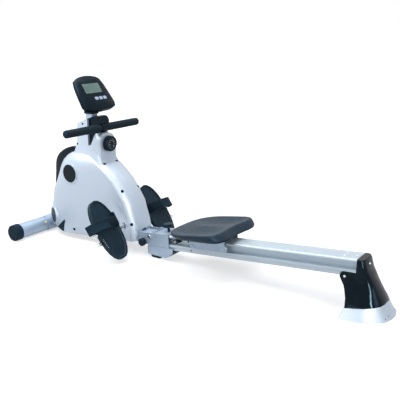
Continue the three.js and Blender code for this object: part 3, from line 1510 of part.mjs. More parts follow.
// Magnet yoke: a channel bent round the lower front of the flywheel, swung on its pin
function yoke() {
  const inner = wheelRadius + yokeGap;
  const outer = inner + yokeWeb;
  const cheekY = wheelHalfRim + yokeCheekGap;
  const farY = cheekY + yokeCheekWidth;
  const sector = (low, high) => {
    const pieces = smallPieces / 2;
    const arc = (radius, share) => {
      const angle = mix(yokeStart, yokeEnd, share);
      return flat(wheelX + radius * Math.cos(angle), wheelZ + radius * Math.sin(angle));
    };
    const shares = Array.from({ length: pieces + 1 }, (_, index) => index / pieces);
    return [...shares.map((share) => arc(high, share)), ...shares.reverse().map((share) => arc(low, share))];
  };
  const web = plate(sector(inner, outer), -farY, farY);
  const armMiddle = inner + yokeWeb - yokeReach / 2;
  const armX = wheelX + armMiddle * Math.cos(yokeEnd);
  const armZ = wheelZ + armMiddle * Math.sin(yokeEnd);
  const cheeks = [-farY, cheekY].map((lowY) => join(
    plate(sector(outer - yokeReach, outer), lowY, lowY + yokeCheekWidth),
    plate(
      beltOutline(yokePivotX, yokePivotZ, yokeBarrelRadius, armX, armZ, yokeReach / 2, smallPieces / 2), lowY,
      lowY + yokeCheekWidth,
    ),
  ));
  const barrel = crossRod(yokeBarrelRadius, yokePivotX, yokePivotZ, -farY, farY);
  const pin = crossRod(yokePinRadius, yokePivotX, yokePivotZ, -plateOuterY, plateOuterY);
  const whole = geometryOf(join(web, ...cheeks, barrel, pin)).translate(-yokePivotX, 0, -yokePivotZ);
  return whole.rotateY(-yokeRest).translate(yokePivotX, 0, yokePivotZ);
}
add('magnet_yoke', yoke(), paintedSteel);

// Crossbar for the pedals, with a collar inside each pedal and a nut outside it
function pedalAxle() {
  const bar = crossRod(crossbarRadius, crossbarX, crossbarZ, -crossbarHalfLength, crossbarHalfLength);
  const rings = sides.flatMap(([, side]) => [-1, 1].map((end) => {
    const nearY = side * (pedalY + end * (pedalHalfWidth + slideGap));
    const farY = nearY + side * end * crossbarCollarWidth;
    return crossRod(crossbarCollarRadius, crossbarX, crossbarZ, nearY, farY);
  }));
  return join(bar, ...rings);
}
add('pedal_axle', pedalAxle(), brightSteel);

// Pedals: their own frame has x down the face, z out of it and the crossbar at its origin
function pedalFrame(side) {
  const group = new THREE.Group();
  group.position.set(crossbarX, side * pedalY, crossbarZ);
  group.rotation.y = pedalLean;
  machine.add(group);
  return group;
}
function pedalOutline(inset) {
  const pieces = plainPieces + smallPieces / 2;
  return Array.from({ length: pieces }, (_, index) => {
    const angle = (2 * Math.PI * index) / pieces;
    const [cosine, sine] = [Math.cos(angle), Math.sin(angle)];
    const reach = (value) => Math.sign(value) * Math.abs(value) ** (2 / pedalPower);
    const x = (pedalLength / 2 - inset) * reach(cosine) - pedalAxleBelowMiddle;
    return flat(x, (pedalHalfWidth - inset) * reach(sine));
  });
}
const pedalRibShares = [-0.25, 0.25];
const pedalFaceZ = pedalAxleDepth;
const pedalBackZ = pedalAxleDepth - pedalThickness;
const footStrapMiddleX = footStrapMiddle - pedalAxleBelowMiddle;

function pedal(side) {
  const ringAt = (inset, z) => pedalOutline(inset).map((p) => vec(p.x, p.y, z));
  const body = loft([
    ringAt(pedalRim, pedalBackZ), ringAt(0, pedalBackZ + pedalRim), ringAt(0, pedalFaceZ + pedalRim / 2),
    ringAt(pedalRim / 2, pedalFaceZ + pedalRim),
  ]);
  const dish = slab(pedalOutline(pedalRimWidth), pedalFaceZ, pedalFaceZ + pedalRim + cutOver);
  const under = slab(pedalOutline(pedalWall), pedalBackZ - cutOver, pedalFaceZ - pedalSkin);
  const farY = pedalHalfWidth;
  const [ribLowZ, ribHighZ] = [pedalBackZ + pedalRibThickness, pedalFaceZ - pedalRibThickness];
  const ribs = pedalRibShares.map((share) => {
    const x = share * pedalLength - pedalAxleBelowMiddle;
    return block(x, x + pedalRibThickness, -farY, farY, ribLowZ, ribHighZ);
  });
  const boss = crossRod(pedalBossRadius, 0, 0, -farY, farY);
  const pegY = side * (pedalHalfWidth - pedalWall);
  const peg = crossRod(
    pedalPegRadius, pedalPegDrop, pedalRim, pegY - side * pedalWall, pegY + side * pedalPegLength,
  );
  const frame = keep(join(...ribs, boss), slab(pedalOutline(pedalWall / 2), -pedalBossRadius, pedalFaceZ));
  const bore = crossRod(crossbarRadius + pedalBoreGap, 0, 0, -farY, farY);
  const slotHalf = footStrapWidth / 2 + footStrapGap;
  const slotMiddleY = -side * footStrapRoot;
  const slotHalfY = footStrapThickness / 2 + footStrapGap;
  const slot = block(
    footStrapMiddleX - slotHalf, footStrapMiddleX + slotHalf,
    slotMiddleY - slotHalfY, slotMiddleY + slotHalfY,
    pedalFaceZ - footStrapSlotDepth - fitGap, pedalFaceZ + pedalRim + cutOver,
  );
  return cut(join(cut(body, dish, under), frame, peg), bore, slot);
}

// Foot strap: a broad band from a slot at the inner edge, over the shoe, drooping outside the outer edge and
// back up to it. Rows are [share across, share up], and below the face the share is of the slot or the droop
const footStrapShares = [
  [-1, -1], [-1, 0.12], [-0.86, 0.7], [-0.45, 0.98], [0.1, 1], [0.58, 0.86], [0.86, 0.45], [1, -0.15],
  [0.97, -0.75], [0.86, -0.95], [0.74, -0.5], [0.65, -0.04], [0.605, 0.04],
];
function footStrap(side) {
  const outerReach = pedalHalfWidth + footStrapBulge;
  const path = footStrapShares.map(([out, up]) => {
    const depth = out < 0 ? footStrapSlotDepth : footStrapDroop;
    return flat(
      out < 0 ? out * footStrapRoot : out * outerReach,
      up < 0 ? pedalFaceZ + up * depth : pedalFaceZ + pedalRim + up * footStrapArch,
    );
  });
  const curve = new THREE.SplineCurve(path);
  const pieces = innerPieces;
  const spaced = Array.from({ length: pieces + 1 }, (_, index) => {
    const share = index / pieces;
    const way = curve.getTangent(share);
    return { at: curve.getPoint(share), out: flat(-way.y, way.x) };
  });
  const edge = (offset) => spaced.map(({ at, out }) => at.clone().addScaledVector(out, offset));
  const half = footStrapThickness / 2;
  const outline = [...edge(-half), ...edge(half).reverse()].map((p) => flat(side * p.x, p.y));
  const reach = footStrapWidth / 2;
  return drawn(outline, footStrapMiddleX - reach, footStrapMiddleX + reach);
}
sides.forEach(([name, side]) => {
  const frame = pedalFrame(side);
  add(`${name}_pedal`, pedal(side), blackPlastic, frame);
  add(`${name}_foot_strap`, footStrap(side), blackRubber, frame);
});

// Rail: its section drawn along the slope, with a roller channel in each side and a bore for the stop bolt
const railLowHalf = railHalfWidth - railLowerInset;
const channelInnerY = railHalfWidth - railChannelDepth;
function railOutline(grow) {
  const top = railTop + grow;
  const bottom = railBottom - grow;
  const half = railHalfWidth + grow;
  const grooveFar = railHalfWidth - railGrooveFromEdge;
  const grooveNear = grooveFar - railGrooveWidth;
  const corners = [
    [railLowHalf + grow, bottom], [railLowHalf + grow, railLipBottom - grow], [half, railLipBottom - grow],
    [half, railChannelFloor - grow], [channelInnerY + grow, railChannelFloor - grow],
    [channelInnerY + grow, railChannelTop + grow], [half, railChannelTop + grow],
    [half, top, railTopRound], [grooveFar, top], [grooveFar, top - railGrooveDepth],
    [grooveNear, top - railGrooveDepth], [grooveNear, top],
  ];
  const other = corners.map(([y, z, corner]) => [-y, z, corner]).reverse();
  return rounded([...corners, ...other]);
}
function railHollow() {
  const [core, low] = [channelInnerY - railWall, railLowHalf - railWall];
  const [top, shelf, bottom] = [railTop - railWall, railChannelFloor - railWall, railBottom + railWall];
  return [
    flat(-low, bottom), flat(low, bottom), flat(low, shelf), flat(core, shelf),
    flat(core, top), flat(-core, top), flat(-core, shelf), flat(-low, shelf),
  ];
}
const stopW = railTop - stopBelowRailTop;
const stopHalfLength = channelInnerY + slideGap + stopLength;
function rail() {
  const beam = drawn(railOutline(0), railFrontFromPivot, railEnd, [railHollow()]);
  const reach = railHalfWidth + cutOver;
  const stopBore = crossRod(stopBoltRadius + fitGap, stopFromPivot, stopW, -reach, reach);
  const stemBore = rod(
    starKnobStemRadius + fitGap, vec(starKnobFromPivot, 0, railTop - railWall - cutOver),
    vec(starKnobFromPivot, 0, railTop + cutOver), smallPieces,
  );
  return cut(beam, stopBore, stemBore);
}
add('rail', rail(), anodised, railFrame);

function frontStop() {
  const bolt = crossRod(stopBoltRadius, stopFromPivot, stopW, -stopHalfLength, stopHalfLength);
  const rings = sides.map(([, side]) => {
    const [nearY, farY] = [side * (channelInnerY + slideGap), side * (stopHalfLength - cutOver)];
    return crossRod(stopRadius, stopFromPivot, stopW, nearY, farY);
  });
  return join(bolt, ...rings);
}
add('front_stop', frontStop(), blackRubber, railFrame);

// Folding bracket: two cheeks and a top plate round the front end of the rail
function railBracket() {
  const inner = railHalfWidth + slideGap;
  const top = railTop + fitGap + bracketWall;
  const cheek = rounded([
    [-bracketFrontFromPivot, -bracketBelowPivot, bracketLowCorner],
    [bracketRearFromPivot, -bracketBelowPivot, 0], [bracketRearFromPivot, top, 0],
    [-bracketFrontFromPivot, top, bracketCorner],
  ]);
  const bore = circleOutline(0, 0, pivotBoltRadius + fitGap);
  const cheeks = sides.map(([, side]) => {
    const [nearY, farY] = [side * inner, side * bracketHalfWidth];
    return plate(cheek, Math.min(nearY, farY), Math.max(nearY, farY), [bore]);
  });
  const cover = block(
    bracketTopStart, bracketRearFromPivot, -bracketHalfWidth, bracketHalfWidth, railTop + fitGap, top,
  );
  const stemBore = rod(
    starKnobStemRadius + fitGap, vec(starKnobFromPivot, 0, railTop),
    vec(starKnobFromPivot, 0, top + cutOver), smallPieces,
  );
  return cut(join(cover, ...cheeks), stemBore);
}
add('rail_bracket', railBracket(), paintedSteel, railFrame);

// Turning knob: a lobed head on a stem through the bracket and the rail's top wall
function starKnob() {
  const foot = railTop + fitGap + bracketWall;
  const headLow = foot + starKnobStemHeight;
  const pieces = starKnobLobes * smallPieces / 2;
  const outline = Array.from({ length: pieces }, (_, index) => {
    const angle = (2 * Math.PI * index) / pieces;
    const radius = starKnobRadius - (starKnobDip * (1 - Math.cos(starKnobLobes * angle))) / 2;
    return flat(starKnobFromPivot + radius * Math.cos(angle), radius * Math.sin(angle));
  });
  const head = slab(outline, headLow, headLow + starKnobHeight, [], starKnobEdge, 1);
  const stem = rod(
    starKnobStemRadius, vec(starKnobFromPivot, 0, railTop - railWall - slideGap),
    vec(starKnobFromPivot, 0, headLow + starKnobEdge), smallPieces,
  );
  return join(head, stem);
}
add('star_knob', starKnob(), blackPlastic, railFrame);

// Seat carriage: an inverted channel over the rail, with a stub axle for each roller
const carriageInnerY = railHalfWidth + carriageSideGap;
const carriageOuterY = carriageInnerY + carriageWall;
const carriageTopW = railTop + carriageTopAboveRail;
const rollerW = railChannelFloor + railRollerRadius + fitGap;
const rollerNearY = channelInnerY + railRollerFromWeb;
const rollerPlaces = Array.from(
  { length: railRollerCount }, (_, index) => railRollerFirst + railRollerPitch * index,
);
function seatCarriage() {
  const bottom = railTop - carriageSideDrop;
  const outline = rounded([
    [carriageFront, bottom, carriageCorner], [carriageRear, bottom, 0], [carriageRear, carriageTopW, 0],
    [carriageFront, carriageTopW, 0],
  ]);
  const cheeks = sides.map(([, side]) => {
    const [nearY, farY] = [side * carriageInnerY, side * carriageOuterY];
    const [lowY, highY] = [Math.min(nearY, farY), Math.max(nearY, farY)];
    const lug = plate(circleOutline(carriageRear - carriageWall, rollerW, carriageLug), lowY, highY);
    const stubEndY = side * (rollerNearY + slideGap);
    const collarEndY = side * (rollerNearY + railRollerWidth + slideGap);
    const stubs = rollerPlaces.map((u) => join(
      crossRod(railRollerBore, u, rollerW, farY, stubEndY, stubPieces),
      crossRod(stubCollarRadius, u, rollerW, farY, collarEndY, stubPieces),
    ));
    return join(plate(outline, lowY, highY), lug, ...stubs);
  });
  const top = block(
    carriageFront, carriageRear, -carriageOuterY, carriageOuterY, carriageTopW - carriageWall, carriageTopW,
  );
  return join(top, ...cheeks);
}
add('seat_carriage', seatCarriage(), paintedSteel, railFrame);

function railRoller(u, side) {
  const bore = railRollerBore + fitGap;
  const edge = railRollerRadius - railRollerRound;
  const profile = [
    [bore, 0], [edge, 0], [railRollerRadius, railRollerRound],
    [railRollerRadius, railRollerWidth - railRollerRound], [edge, railRollerWidth], [bore, railRollerWidth],
    [bore, 0],
  ];
  return turned(profile, vec(u, side * rollerNearY, rollerW), vec(0, side, 0), smallPieces);
}
['front', 'middle', 'rear'].forEach((place, index) => sides.forEach(([name, side]) => {
  add(`${place}_${name}_roller`, railRoller(rollerPlaces[index], side), whiteNylon, railFrame);
}));

// Seat: a moulded cushion with two hollows, a raised rear edge and a notch behind, on a pad of its own
const seatRingShares = [
  [0.8, 0], [0.95, 0.04], [1, 0.25], [0.99, 0.66], [0.94, 0.96], [0.87, 1], [0.7, 1], [0.5, 1], [0.25, 1],
];
const seatPowers = { front: 2.7, rear: 5 };
const seatHollowShares = { side: 0.5, front: 0.2, spread: 0.42, reach: 0.62, ridge: 0.25 };
function seatPoint(angle, scale, level) {
  const power = Math.cos(angle) > 0 ? seatPowers.rear : seatPowers.front;
  const reach = Math.cos(angle) > 0 ? seatRearReach : seatFrontReach;
  const curve = (value) => Math.sign(value) * Math.abs(value) ** (2 / power);
  const across = curve(Math.sin(angle));
  const along = curve(Math.cos(angle));
  const fromNotch = (across * seatHalfWidth) / seatNotchHalfWidth;
  const notch = Math.cos(angle) > 0 ? seatNotchDepth * Math.exp(-(fromNotch ** 2)) : 0;
  const x = (along * reach - notch) * scale;
  const y = across * seatHalfWidth * scale;
  const rim = seatTop + seatRearRise * smoothStep(x, -seatFrontReach, seatRearReach);
  const nearSide = Math.abs(y) / seatHalfWidth - seatHollowShares.side;
  const ahead = x / seatRearReach - seatHollowShares.front;
  const bowl = Math.exp(-((nearSide / seatHollowShares.spread) ** 2) - (ahead / seatHollowShares.reach) ** 2);
  const dip = seatHollowDepth * bowl * smoothStep(1 - scale, 0, seatHollowShares.ridge);
  return vec(seatMiddle + x, y, mix(seatBottom, rim, level) - dip * level);
}
function seat() {
  const pieces = seatPieces;
  const rings = seatRingShares.map(([scale, level]) => Array.from(
    { length: pieces }, (_, index) => seatPoint((2 * Math.PI * index) / pieces, scale, level),
  ));
  const pad = block(
    seatMiddle - seatPadHalfLength, seatMiddle + seatPadHalfLength, -seatPadHalfWidth, seatPadHalfWidth,
    carriageTopW + fitGap, seatBottom + seatPadSink,
  );
  return join(loft(rings), pad);
}
add('seat', seat(), seatFoam, railFrame);

// Rear leg: a glossy cover on the rail's end, parted from a pale foot by a sloping seam. Rows are shares of
// [height, half width, where the front and the rear lie along the foot, corner across, corner along]
const legShares = [
  [0, 1, 0.10, 1, 0.84, 0.95], [0.098, 0.827, 0.135, 0.915, 0.8, 0.85],
  [0.172, 0.724, 0.15, 0.868, 0.75, 0.75], [0.294, 0.59, 0.115, 0.798, 0.65, 0.6],
  [0.392, 0.51, 0.071, 0.724, 0.58, 0.5], [0.49, 0.441, 0.02, 0.66, 0.5, 0.45],
  [0.613, 0.40, 0.09, 0.58, 0.45, 0.45], [0.735, 0.378, 0.242, 0.503, 0.4, 0.45],
  [0.81, 0.373, 0.242, 0.457, 0.4, 0.45], [0.97, 0.37, 0.242, 0.402, 0.4, 0.45],
  [1, 0.34, 0.25, 0.38, 0.4, 0.45],
];
function legRing(row, inset) {
  const [share, wide, ahead, behind, across, along] = row;
  const height = legHeight * share;
  const half = legFootHalfWidth * wide - inset;
  const front = legNoseX + legFootLength * ahead + inset;
  const rear = legNoseX + legFootLength * behind - inset;
  const [a, b] = [(rear - front) * along, half * across];
  const pieces = smallPieces / 3;
  const quarter = Array.from({ length: pieces + 1 }, (_, index) => {
    const angle = (Math.PI / 2) * (index / pieces);
    return vec(rear - a * (1 - Math.sin(angle)), half - b * (1 - Math.cos(angle)), height);
  });
  const edge = legFrontRound;
  const side = [
    vec(front, half - edge, height), vec(front + edge / 3, half - edge / 3, height),
    vec(front + edge, half, height),
  ];
  const points = [...side, ...quarter];
  return [...points, ...points.map((p) => vec(p.x, -p.y, p.z)).reverse()];
}
function legBody(inset) {
  return loft(legShares.map((row) => legRing(row, inset)));
}
function belowSeam(drop) {
  const slope = legSplitRise / legFootLength;
  const at = (x) => flat(x, legSplitZ + slope * (x - legNoseX) - drop);
  const [frontX, rearX] = [legNoseX - legLength, machineRearX + legLength];
  const reach = legFootHalfWidth + cutOver;
  return plate([at(frontX), flat(frontX, -cutOver), flat(rearX, -cutOver), at(rearX)], -reach, reach);
}
railFrame.updateMatrix();
function railEnvelope() {
  const [half, low, top] = [railHalfWidth + fitGap, railLowHalf + fitGap, railTop + railTopRound];
  const [shelf, bottom] = [railLipBottom - fitGap, railBottom - fitGap];
  const outline = [
    flat(-low, bottom), flat(low, bottom), flat(low, shelf), flat(half, shelf),
    flat(half, top), flat(-half, top), flat(-half, shelf), flat(-low, shelf),
  ];
  return drawn(outline, railEnd / 2, railEnd + fitGap).applyMatrix4(railFrame.matrix);
}

// The lug under the rail has a round front; the plug fills the end of the rail's hollow and takes two screws
function legLug() {
  const pieces = smallPieces / 2;
  const round = Array.from({ length: pieces + 1 }, (_, index) => {
    const angle = mix(Math.PI / 2, Math.PI + legLugTurn, index / pieces);
    return flat(legLugX + legLugRadius * Math.cos(angle), legLugZ + legLugRadius * Math.sin(angle));
  });
  const rearX = legFrontX + legWall;
  const outline = [
    ...round, flat(legNoseX + legWall, legLugLowZ), flat(rearX, legLugLowZ),
    flat(rearX, legLugZ + legLugRadius),
  ];
  return plate(outline, -legLugHalfWidth, legLugHalfWidth);
}
function legPlug() {
  const half = channelInnerY - railWall - slideGap;
  const bottom = railBottom + railWall + slideGap;
  const top = railTop - railWall - slideGap;
  return geometryOf(solid(block(
    railEnd - legPlugLength, railEnd + legWall, -half, half, bottom, top,
  ))).applyMatrix4(railFrame.matrix);
}
function legCover() {
  const reach = legFootHalfWidth;
  const hollow = keep(legBody(legWall), block(
    legNoseX, machineRearX, -reach, reach, 0, legLugZ - legLugRadius,
  ));
  return join(cut(join(legBody(0), legLug()), belowSeam(0), railEnvelope(), hollow), legPlug());
}
add('leg_cover', legCover(), glossBlack);
add('leg_foot', keep(legBody(0), belowSeam(fitGap)), silverPlastic);

export default machine;
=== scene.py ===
# %% [markdown]
# # A folding rowing machine
# The solids of a home rowing machine are already made. This lesson dresses them: it sets up a camera and soft
# light, mixes a finish for every material, and models the pieces that plain solids can't show, such as the
# moulded seat, the foam grips, the straps, the screws and the marks on the dial. All lengths are in metres,
# written in millimetres times MM. +X runs from the flywheel end to the rear foot, +Y to the rower's right, +Z
# up, and the floor is at zero.

# %% Load the solids
import math

import bmesh
import bpy
from mathutils import Matrix, Vector
from mathutils.bvhtree import BVHTree


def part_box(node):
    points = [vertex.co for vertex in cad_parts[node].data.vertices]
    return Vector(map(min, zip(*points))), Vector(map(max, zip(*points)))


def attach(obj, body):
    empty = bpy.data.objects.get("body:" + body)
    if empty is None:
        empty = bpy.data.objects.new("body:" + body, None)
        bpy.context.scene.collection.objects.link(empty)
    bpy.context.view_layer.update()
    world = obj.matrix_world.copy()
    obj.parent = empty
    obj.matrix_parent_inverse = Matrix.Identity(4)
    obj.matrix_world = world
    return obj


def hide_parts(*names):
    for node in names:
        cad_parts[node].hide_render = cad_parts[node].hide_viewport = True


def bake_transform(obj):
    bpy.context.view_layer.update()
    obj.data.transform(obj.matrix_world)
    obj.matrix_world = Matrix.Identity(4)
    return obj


MM = 0.001
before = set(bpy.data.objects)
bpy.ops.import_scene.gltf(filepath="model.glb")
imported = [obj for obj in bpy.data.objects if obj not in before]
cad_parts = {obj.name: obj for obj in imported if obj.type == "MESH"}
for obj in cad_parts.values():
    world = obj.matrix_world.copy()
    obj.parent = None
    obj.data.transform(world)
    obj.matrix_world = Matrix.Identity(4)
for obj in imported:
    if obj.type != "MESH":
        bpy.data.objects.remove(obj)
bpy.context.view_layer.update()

# %% [markdown]
# ## Camera
# The machine is seen from the rower's left, a little above it and from some way off, and a long lens keeps
# the far foot from looking small. A constraint could aim the camera at a target. Here its place, its turn
# about the vertical and its dip are set outright, so that the view is exactly the same each time.

# %% Camera
camera_place = Vector((1.4998, -2.0389, 1.0160))
camera_turn = math.radians(35.43)
camera_dip = math.radians(16.08)
camera_lens = 55.6

camera_data = bpy.data.cameras.new("camera")
camera_data.lens = camera_lens
camera = bpy.data.objects.new("camera", camera_data)
camera.location = camera_place
camera.rotation_euler = (math.pi / 2 - camera_dip, 0, camera_turn)
bpy.context.scene.collection.objects.link(camera)
bpy.context.scene.camera = camera
bpy.context.scene.view_settings.view_transform = "Standard"
print("camera height", round(camera_place.z / MM), "lens", camera_lens)

# %% [markdown]
# ## Light
# A studio shot like this has large soft lamps: one overhead, one high at the near side and one along the rear
# end. A small near lamp shades the housing from its shoulder down, and a narrow strip leaves a crisp streak
# on the gloss black leg. Area lamps are used, because their size is what makes a shadow soft. A photographed
# studio as the world's light could do it too, but lamps are easier to place and to dim one by one.

# %% Lamps
lamp_aim = Vector((-0.1, 0, 0.25))

# Rows are the lamp's name, its place, its width and height in metres, and its power in watts
lamp_rows = [
    ("key_lamp", (-0.2, -2.4, 2.9), 2.2, 1.6, 26),
    ("near_lamp", (-0.9, -0.6, 1.15), 0.6, 0.4, 8),
    ("rear_lamp", (2.8, -0.6, 1.9), 1.2, 2.0, 20),
    ("top_lamp", (-0.5, 0.1, 3.0), 2.6, 2.0, 74),
    ("strip_lamp", (2.3, -1.9, 1.3), 0.3, 1.6, 60),
]


def softbox(name, place, width, height, power):
    light = bpy.data.lights.new(name, "AREA")
    light.shape = "RECTANGLE"
    light.size = width
    light.size_y = height
    light.energy = power
    lamp = bpy.data.objects.new(name, light)
    lamp.location = place
    lamp.rotation_euler = (lamp_aim - Vector(place)).to_track_quat("-Z", "Y").to_euler()
    bpy.context.scene.collection.objects.link(lamp)
    return lamp


lamps = {name: softbox(name, *settings) for name, *settings in lamp_rows}
lamps["strip_lamp"].visible_diffuse = False
print("lamps", len(lamps))

# %% [markdown]
# ## World
# The backdrop of such a shot is pure white. A white world would flood the object with light and wash out its
# blacks, so the world is white only where the camera, a reflection or a see-through surface looks straight at
# it. For all other light it is a faint cool glow, which fills the shadows.

# %% World
ambient_colour, ambient_strength = (0.86, 0.92, 1.0, 1), 0.26
backdrop_colour, backdrop_strength = (1, 1, 1, 1), 1


def new_node(tree, kind, **settings):
    node = tree.nodes.new(kind)
    for setting, value in settings.items():
        setattr(node, setting, value)
    return node


def either(tree, first, second):
    """One where the first or the second value is one."""
    larger = new_node(tree, "ShaderNodeMath", operation="MAXIMUM")
    tree.links.new(first, larger.inputs[0])
    tree.links.new(second, larger.inputs[1])
    return larger.outputs[0]


world = bpy.data.worlds.new("studio")
bpy.context.scene.world = world
world.use_nodes = True
world_tree = world.node_tree
world_tree.nodes.clear()
ambient = new_node(world_tree, "ShaderNodeBackground")
ambient.inputs["Color"].default_value = ambient_colour
ambient.inputs["Strength"].default_value = ambient_strength
backdrop = new_node(world_tree, "ShaderNodeBackground")
backdrop.inputs["Color"].default_value = backdrop_colour
backdrop.inputs["Strength"].default_value = backdrop_strength
sight = new_node(world_tree, "ShaderNodeLightPath")
seen = either(world_tree, sight.outputs["Is Camera Ray"], sight.outputs["Is Glossy Ray"])
seen = either(world_tree, seen, sight.outputs["Is Transmission Ray"])
choice = new_node(world_tree, "ShaderNodeMixShader")
world_out = new_node(world_tree, "ShaderNodeOutputWorld")
world_tree.links.new(seen, choice.inputs["Fac"])
world_tree.links.new(ambient.outputs[0], choice.inputs[1])
world_tree.links.new(backdrop.outputs[0], choice.inputs[2])
world_tree.links.new(choice.outputs[0], world_out.inputs["Surface"])
print("ambient light", ambient_strength)

# %% [markdown]
# ## Floor
# The floor is a plain pale sheet of paper. Paper alone would still look grey in this light, so the sheet also
# glows a little, for the camera and for reflections alone. That lifts it to white and leaves the soft shadow
# under the machine. The glow grows with the distance, where the lamps no longer reach, so that the sheet's
# far edge melts into the backdrop. A curved studio sweep would do that as well, but it would cut off the
# views from behind.

# %% Floor
floor_reach = 60.0
paper_colour, paper_roughness, paper_specular = (0.5, 0.51, 0.52, 1), 0.9, 0.1
glow_colour = (1, 1, 1, 1)
glow_near, glow_far = 0.62, 1.0
glow_start, glow_end = 1.1, 3.2

floor_corners = [(x * floor_reach, y * floor_reach, 0) for x, y in ((-1, -1), (1, -1), (1, 1), (-1, 1))]
floor_mesh = bpy.data.meshes.new("floor")
floor_mesh.from_pydata(floor_corners, [], [tuple(range(len(floor_corners)))])
floor = bpy.data.objects.new("floor", floor_mesh)
bpy.context.scene.collection.objects.link(floor)

floor_paper = bpy.data.materials.new("floor_paper")
floor_paper.use_nodes = True
paper_tree = floor_paper.node_tree
paper_shader = paper_tree.nodes["Principled BSDF"]
paper_shader.inputs["Base Color"].default_value = paper_colour
paper_shader.inputs["Roughness"].default_value = paper_roughness
paper_shader.inputs["Specular IOR Level"].default_value = paper_specular
paper_shader.inputs["Emission Color"].default_value = glow_colour
paper_sight = new_node(paper_tree, "ShaderNodeLightPath")
paper_seen = either(paper_tree, paper_sight.outputs["Is Camera Ray"], paper_sight.outputs["Is Glossy Ray"])
paper_place = new_node(paper_tree, "ShaderNodeTexCoord")
paper_distance = new_node(paper_tree, "ShaderNodeVectorMath", operation="LENGTH")
glow_range = new_node(paper_tree, "ShaderNodeMapRange")
glow_range.inputs["From Min"].default_value = glow_start
glow_range.inputs["From Max"].default_value = glow_end
glow_range.inputs["To Min"].default_value = glow_near
glow_range.inputs["To Max"].default_value = glow_far
paper_glow = new_node(paper_tree, "ShaderNodeMath", operation="MULTIPLY")
paper_tree.links.new(paper_place.outputs["Object"], paper_distance.inputs[0])
paper_tree.links.new(paper_distance.outputs["Value"], glow_range.inputs["Value"])
paper_tree.links.new(paper_seen, paper_glow.inputs[0])
paper_tree.links.new(glow_range.outputs["Result"], paper_glow.inputs[1])
paper_tree.links.new(paper_glow.outputs[0], paper_shader.inputs["Emission Strength"])
floor_mesh.materials.append(floor_paper)
print("floor reach", floor_reach)

# %% [markdown]
# ## Finishes
# Each finish is a Principled shader with a little of what a real surface has: the colour drifts slightly over
# the surface, the gloss isn't even, and a fine relief breaks up the highlights. Painted images could give the
# same, but they need a layout for every piece. Noise on Object coordinates, in metres, needs none, and its
# grain has its real size on every piece.

# %% Helpers for finishes
noise_low, noise_high = 0.3, 0.7


def linear(red, green, blue):
    """A colour read from a screen, 0 to 255, as the linear values of the screen's standard curve."""
    shares = [value / 255 for value in (red, green, blue)]
    return tuple(s / 12.92 if s <= 0.04045 else ((s + 0.055) / 1.055) ** 2.4 for s in shares)


def new_finish(name, roughness, metallic=0.0):
    finish = bpy.data.materials.new(name)
    finish.use_nodes = True
    shader = finish.node_tree.nodes["Principled BSDF"]
    shader.inputs["Roughness"].default_value = roughness
    shader.inputs["Metallic"].default_value = metallic
    return finish


def shader_of(finish):
    return finish.node_tree.nodes["Principled BSDF"]


def object_coordinates(finish, stretch=(1, 1, 1), turn=(0, 0, 0), centre=(0, 0, 0)):
    """Object coordinates, moved so that centre is zero, then turned and stretched."""
    tree = finish.node_tree
    source = tree.nodes.new("ShaderNodeTexCoord")
    move = tree.nodes.new("ShaderNodeMapping")
    move.inputs["Location"].default_value = [-value for value in centre]
    shape = tree.nodes.new("ShaderNodeMapping")
    shape.inputs["Rotation"].default_value = turn
    shape.inputs["Scale"].default_value = stretch
    tree.links.new(source.outputs["Object"], move.inputs["Vector"])
    tree.links.new(move.outputs["Vector"], shape.inputs["Vector"])
    return shape.outputs["Vector"]


def noise(finish, size, detail=3.0, vector=None):
    """Noise whose blobs are about size metres across."""
    tree = finish.node_tree
    texture = tree.nodes.new("ShaderNodeTexNoise")
    texture.inputs["Scale"].default_value = 1 / size
    texture.inputs["Detail"].default_value = detail
    tree.links.new(vector or object_coordinates(finish), texture.inputs["Vector"])
    return texture.outputs["Fac"]


print("noise is taken to run from", noise_low, "to", noise_high)

# %% [markdown]
# ### Colour, gloss and relief
# Noise alone is only a grey number. A colour ramp turns it into two close colours, a Map Range node into a
# span of roughness, and a Bump node into small heights given in metres. Displacing the mesh would give real
# heights, but a grain this fine would need millions of faces.

# %% Helpers for colour, gloss and relief
def colours(finish, factor, dark, light, start=noise_low, end=noise_high):
    """The base colour runs from dark to light as the factor rises."""
    tree = finish.node_tree
    ramp = tree.nodes.new("ShaderNodeValToRGB")
    ramp.color_ramp.elements[0].position = start
    ramp.color_ramp.elements[0].color = (*linear(*dark), 1)
    ramp.color_ramp.elements[1].position = end
    ramp.color_ramp.elements[1].color = (*linear(*light), 1)
    tree.links.new(factor, ramp.inputs["Fac"])
    tree.links.new(ramp.outputs["Color"], shader_of(finish).inputs["Base Color"])
    return ramp


def gloss(finish, factor, low, high):
    """Roughness runs from low to high as the factor rises."""
    tree = finish.node_tree
    spread = tree.nodes.new("ShaderNodeMapRange")
    spread.inputs["From Min"].default_value = noise_low
    spread.inputs["From Max"].default_value = noise_high
    spread.inputs["To Min"].default_value = low
    spread.inputs["To Max"].default_value = high
    tree.links.new(factor, spread.inputs["Value"])
    tree.links.new(spread.outputs["Result"], shader_of(finish).inputs["Roughness"])


def relief(finish, factor, depth, strength=1.0):
    """A bump of that depth in metres. A second call adds to the first."""
    tree = finish.node_tree
    bump = tree.nodes.new("ShaderNodeBump")
    bump.inputs["Distance"].default_value = depth
    bump.inputs["Strength"].default_value = strength
    normal = shader_of(finish).inputs["Normal"]
    if normal.is_linked:
        tree.links.new(normal.links[0].from_socket, bump.inputs["Normal"])
    tree.links.new(factor, bump.inputs["Height"])
    tree.links.new(bump.outputs["Normal"], normal)


print("white is", linear(255, 255, 255))

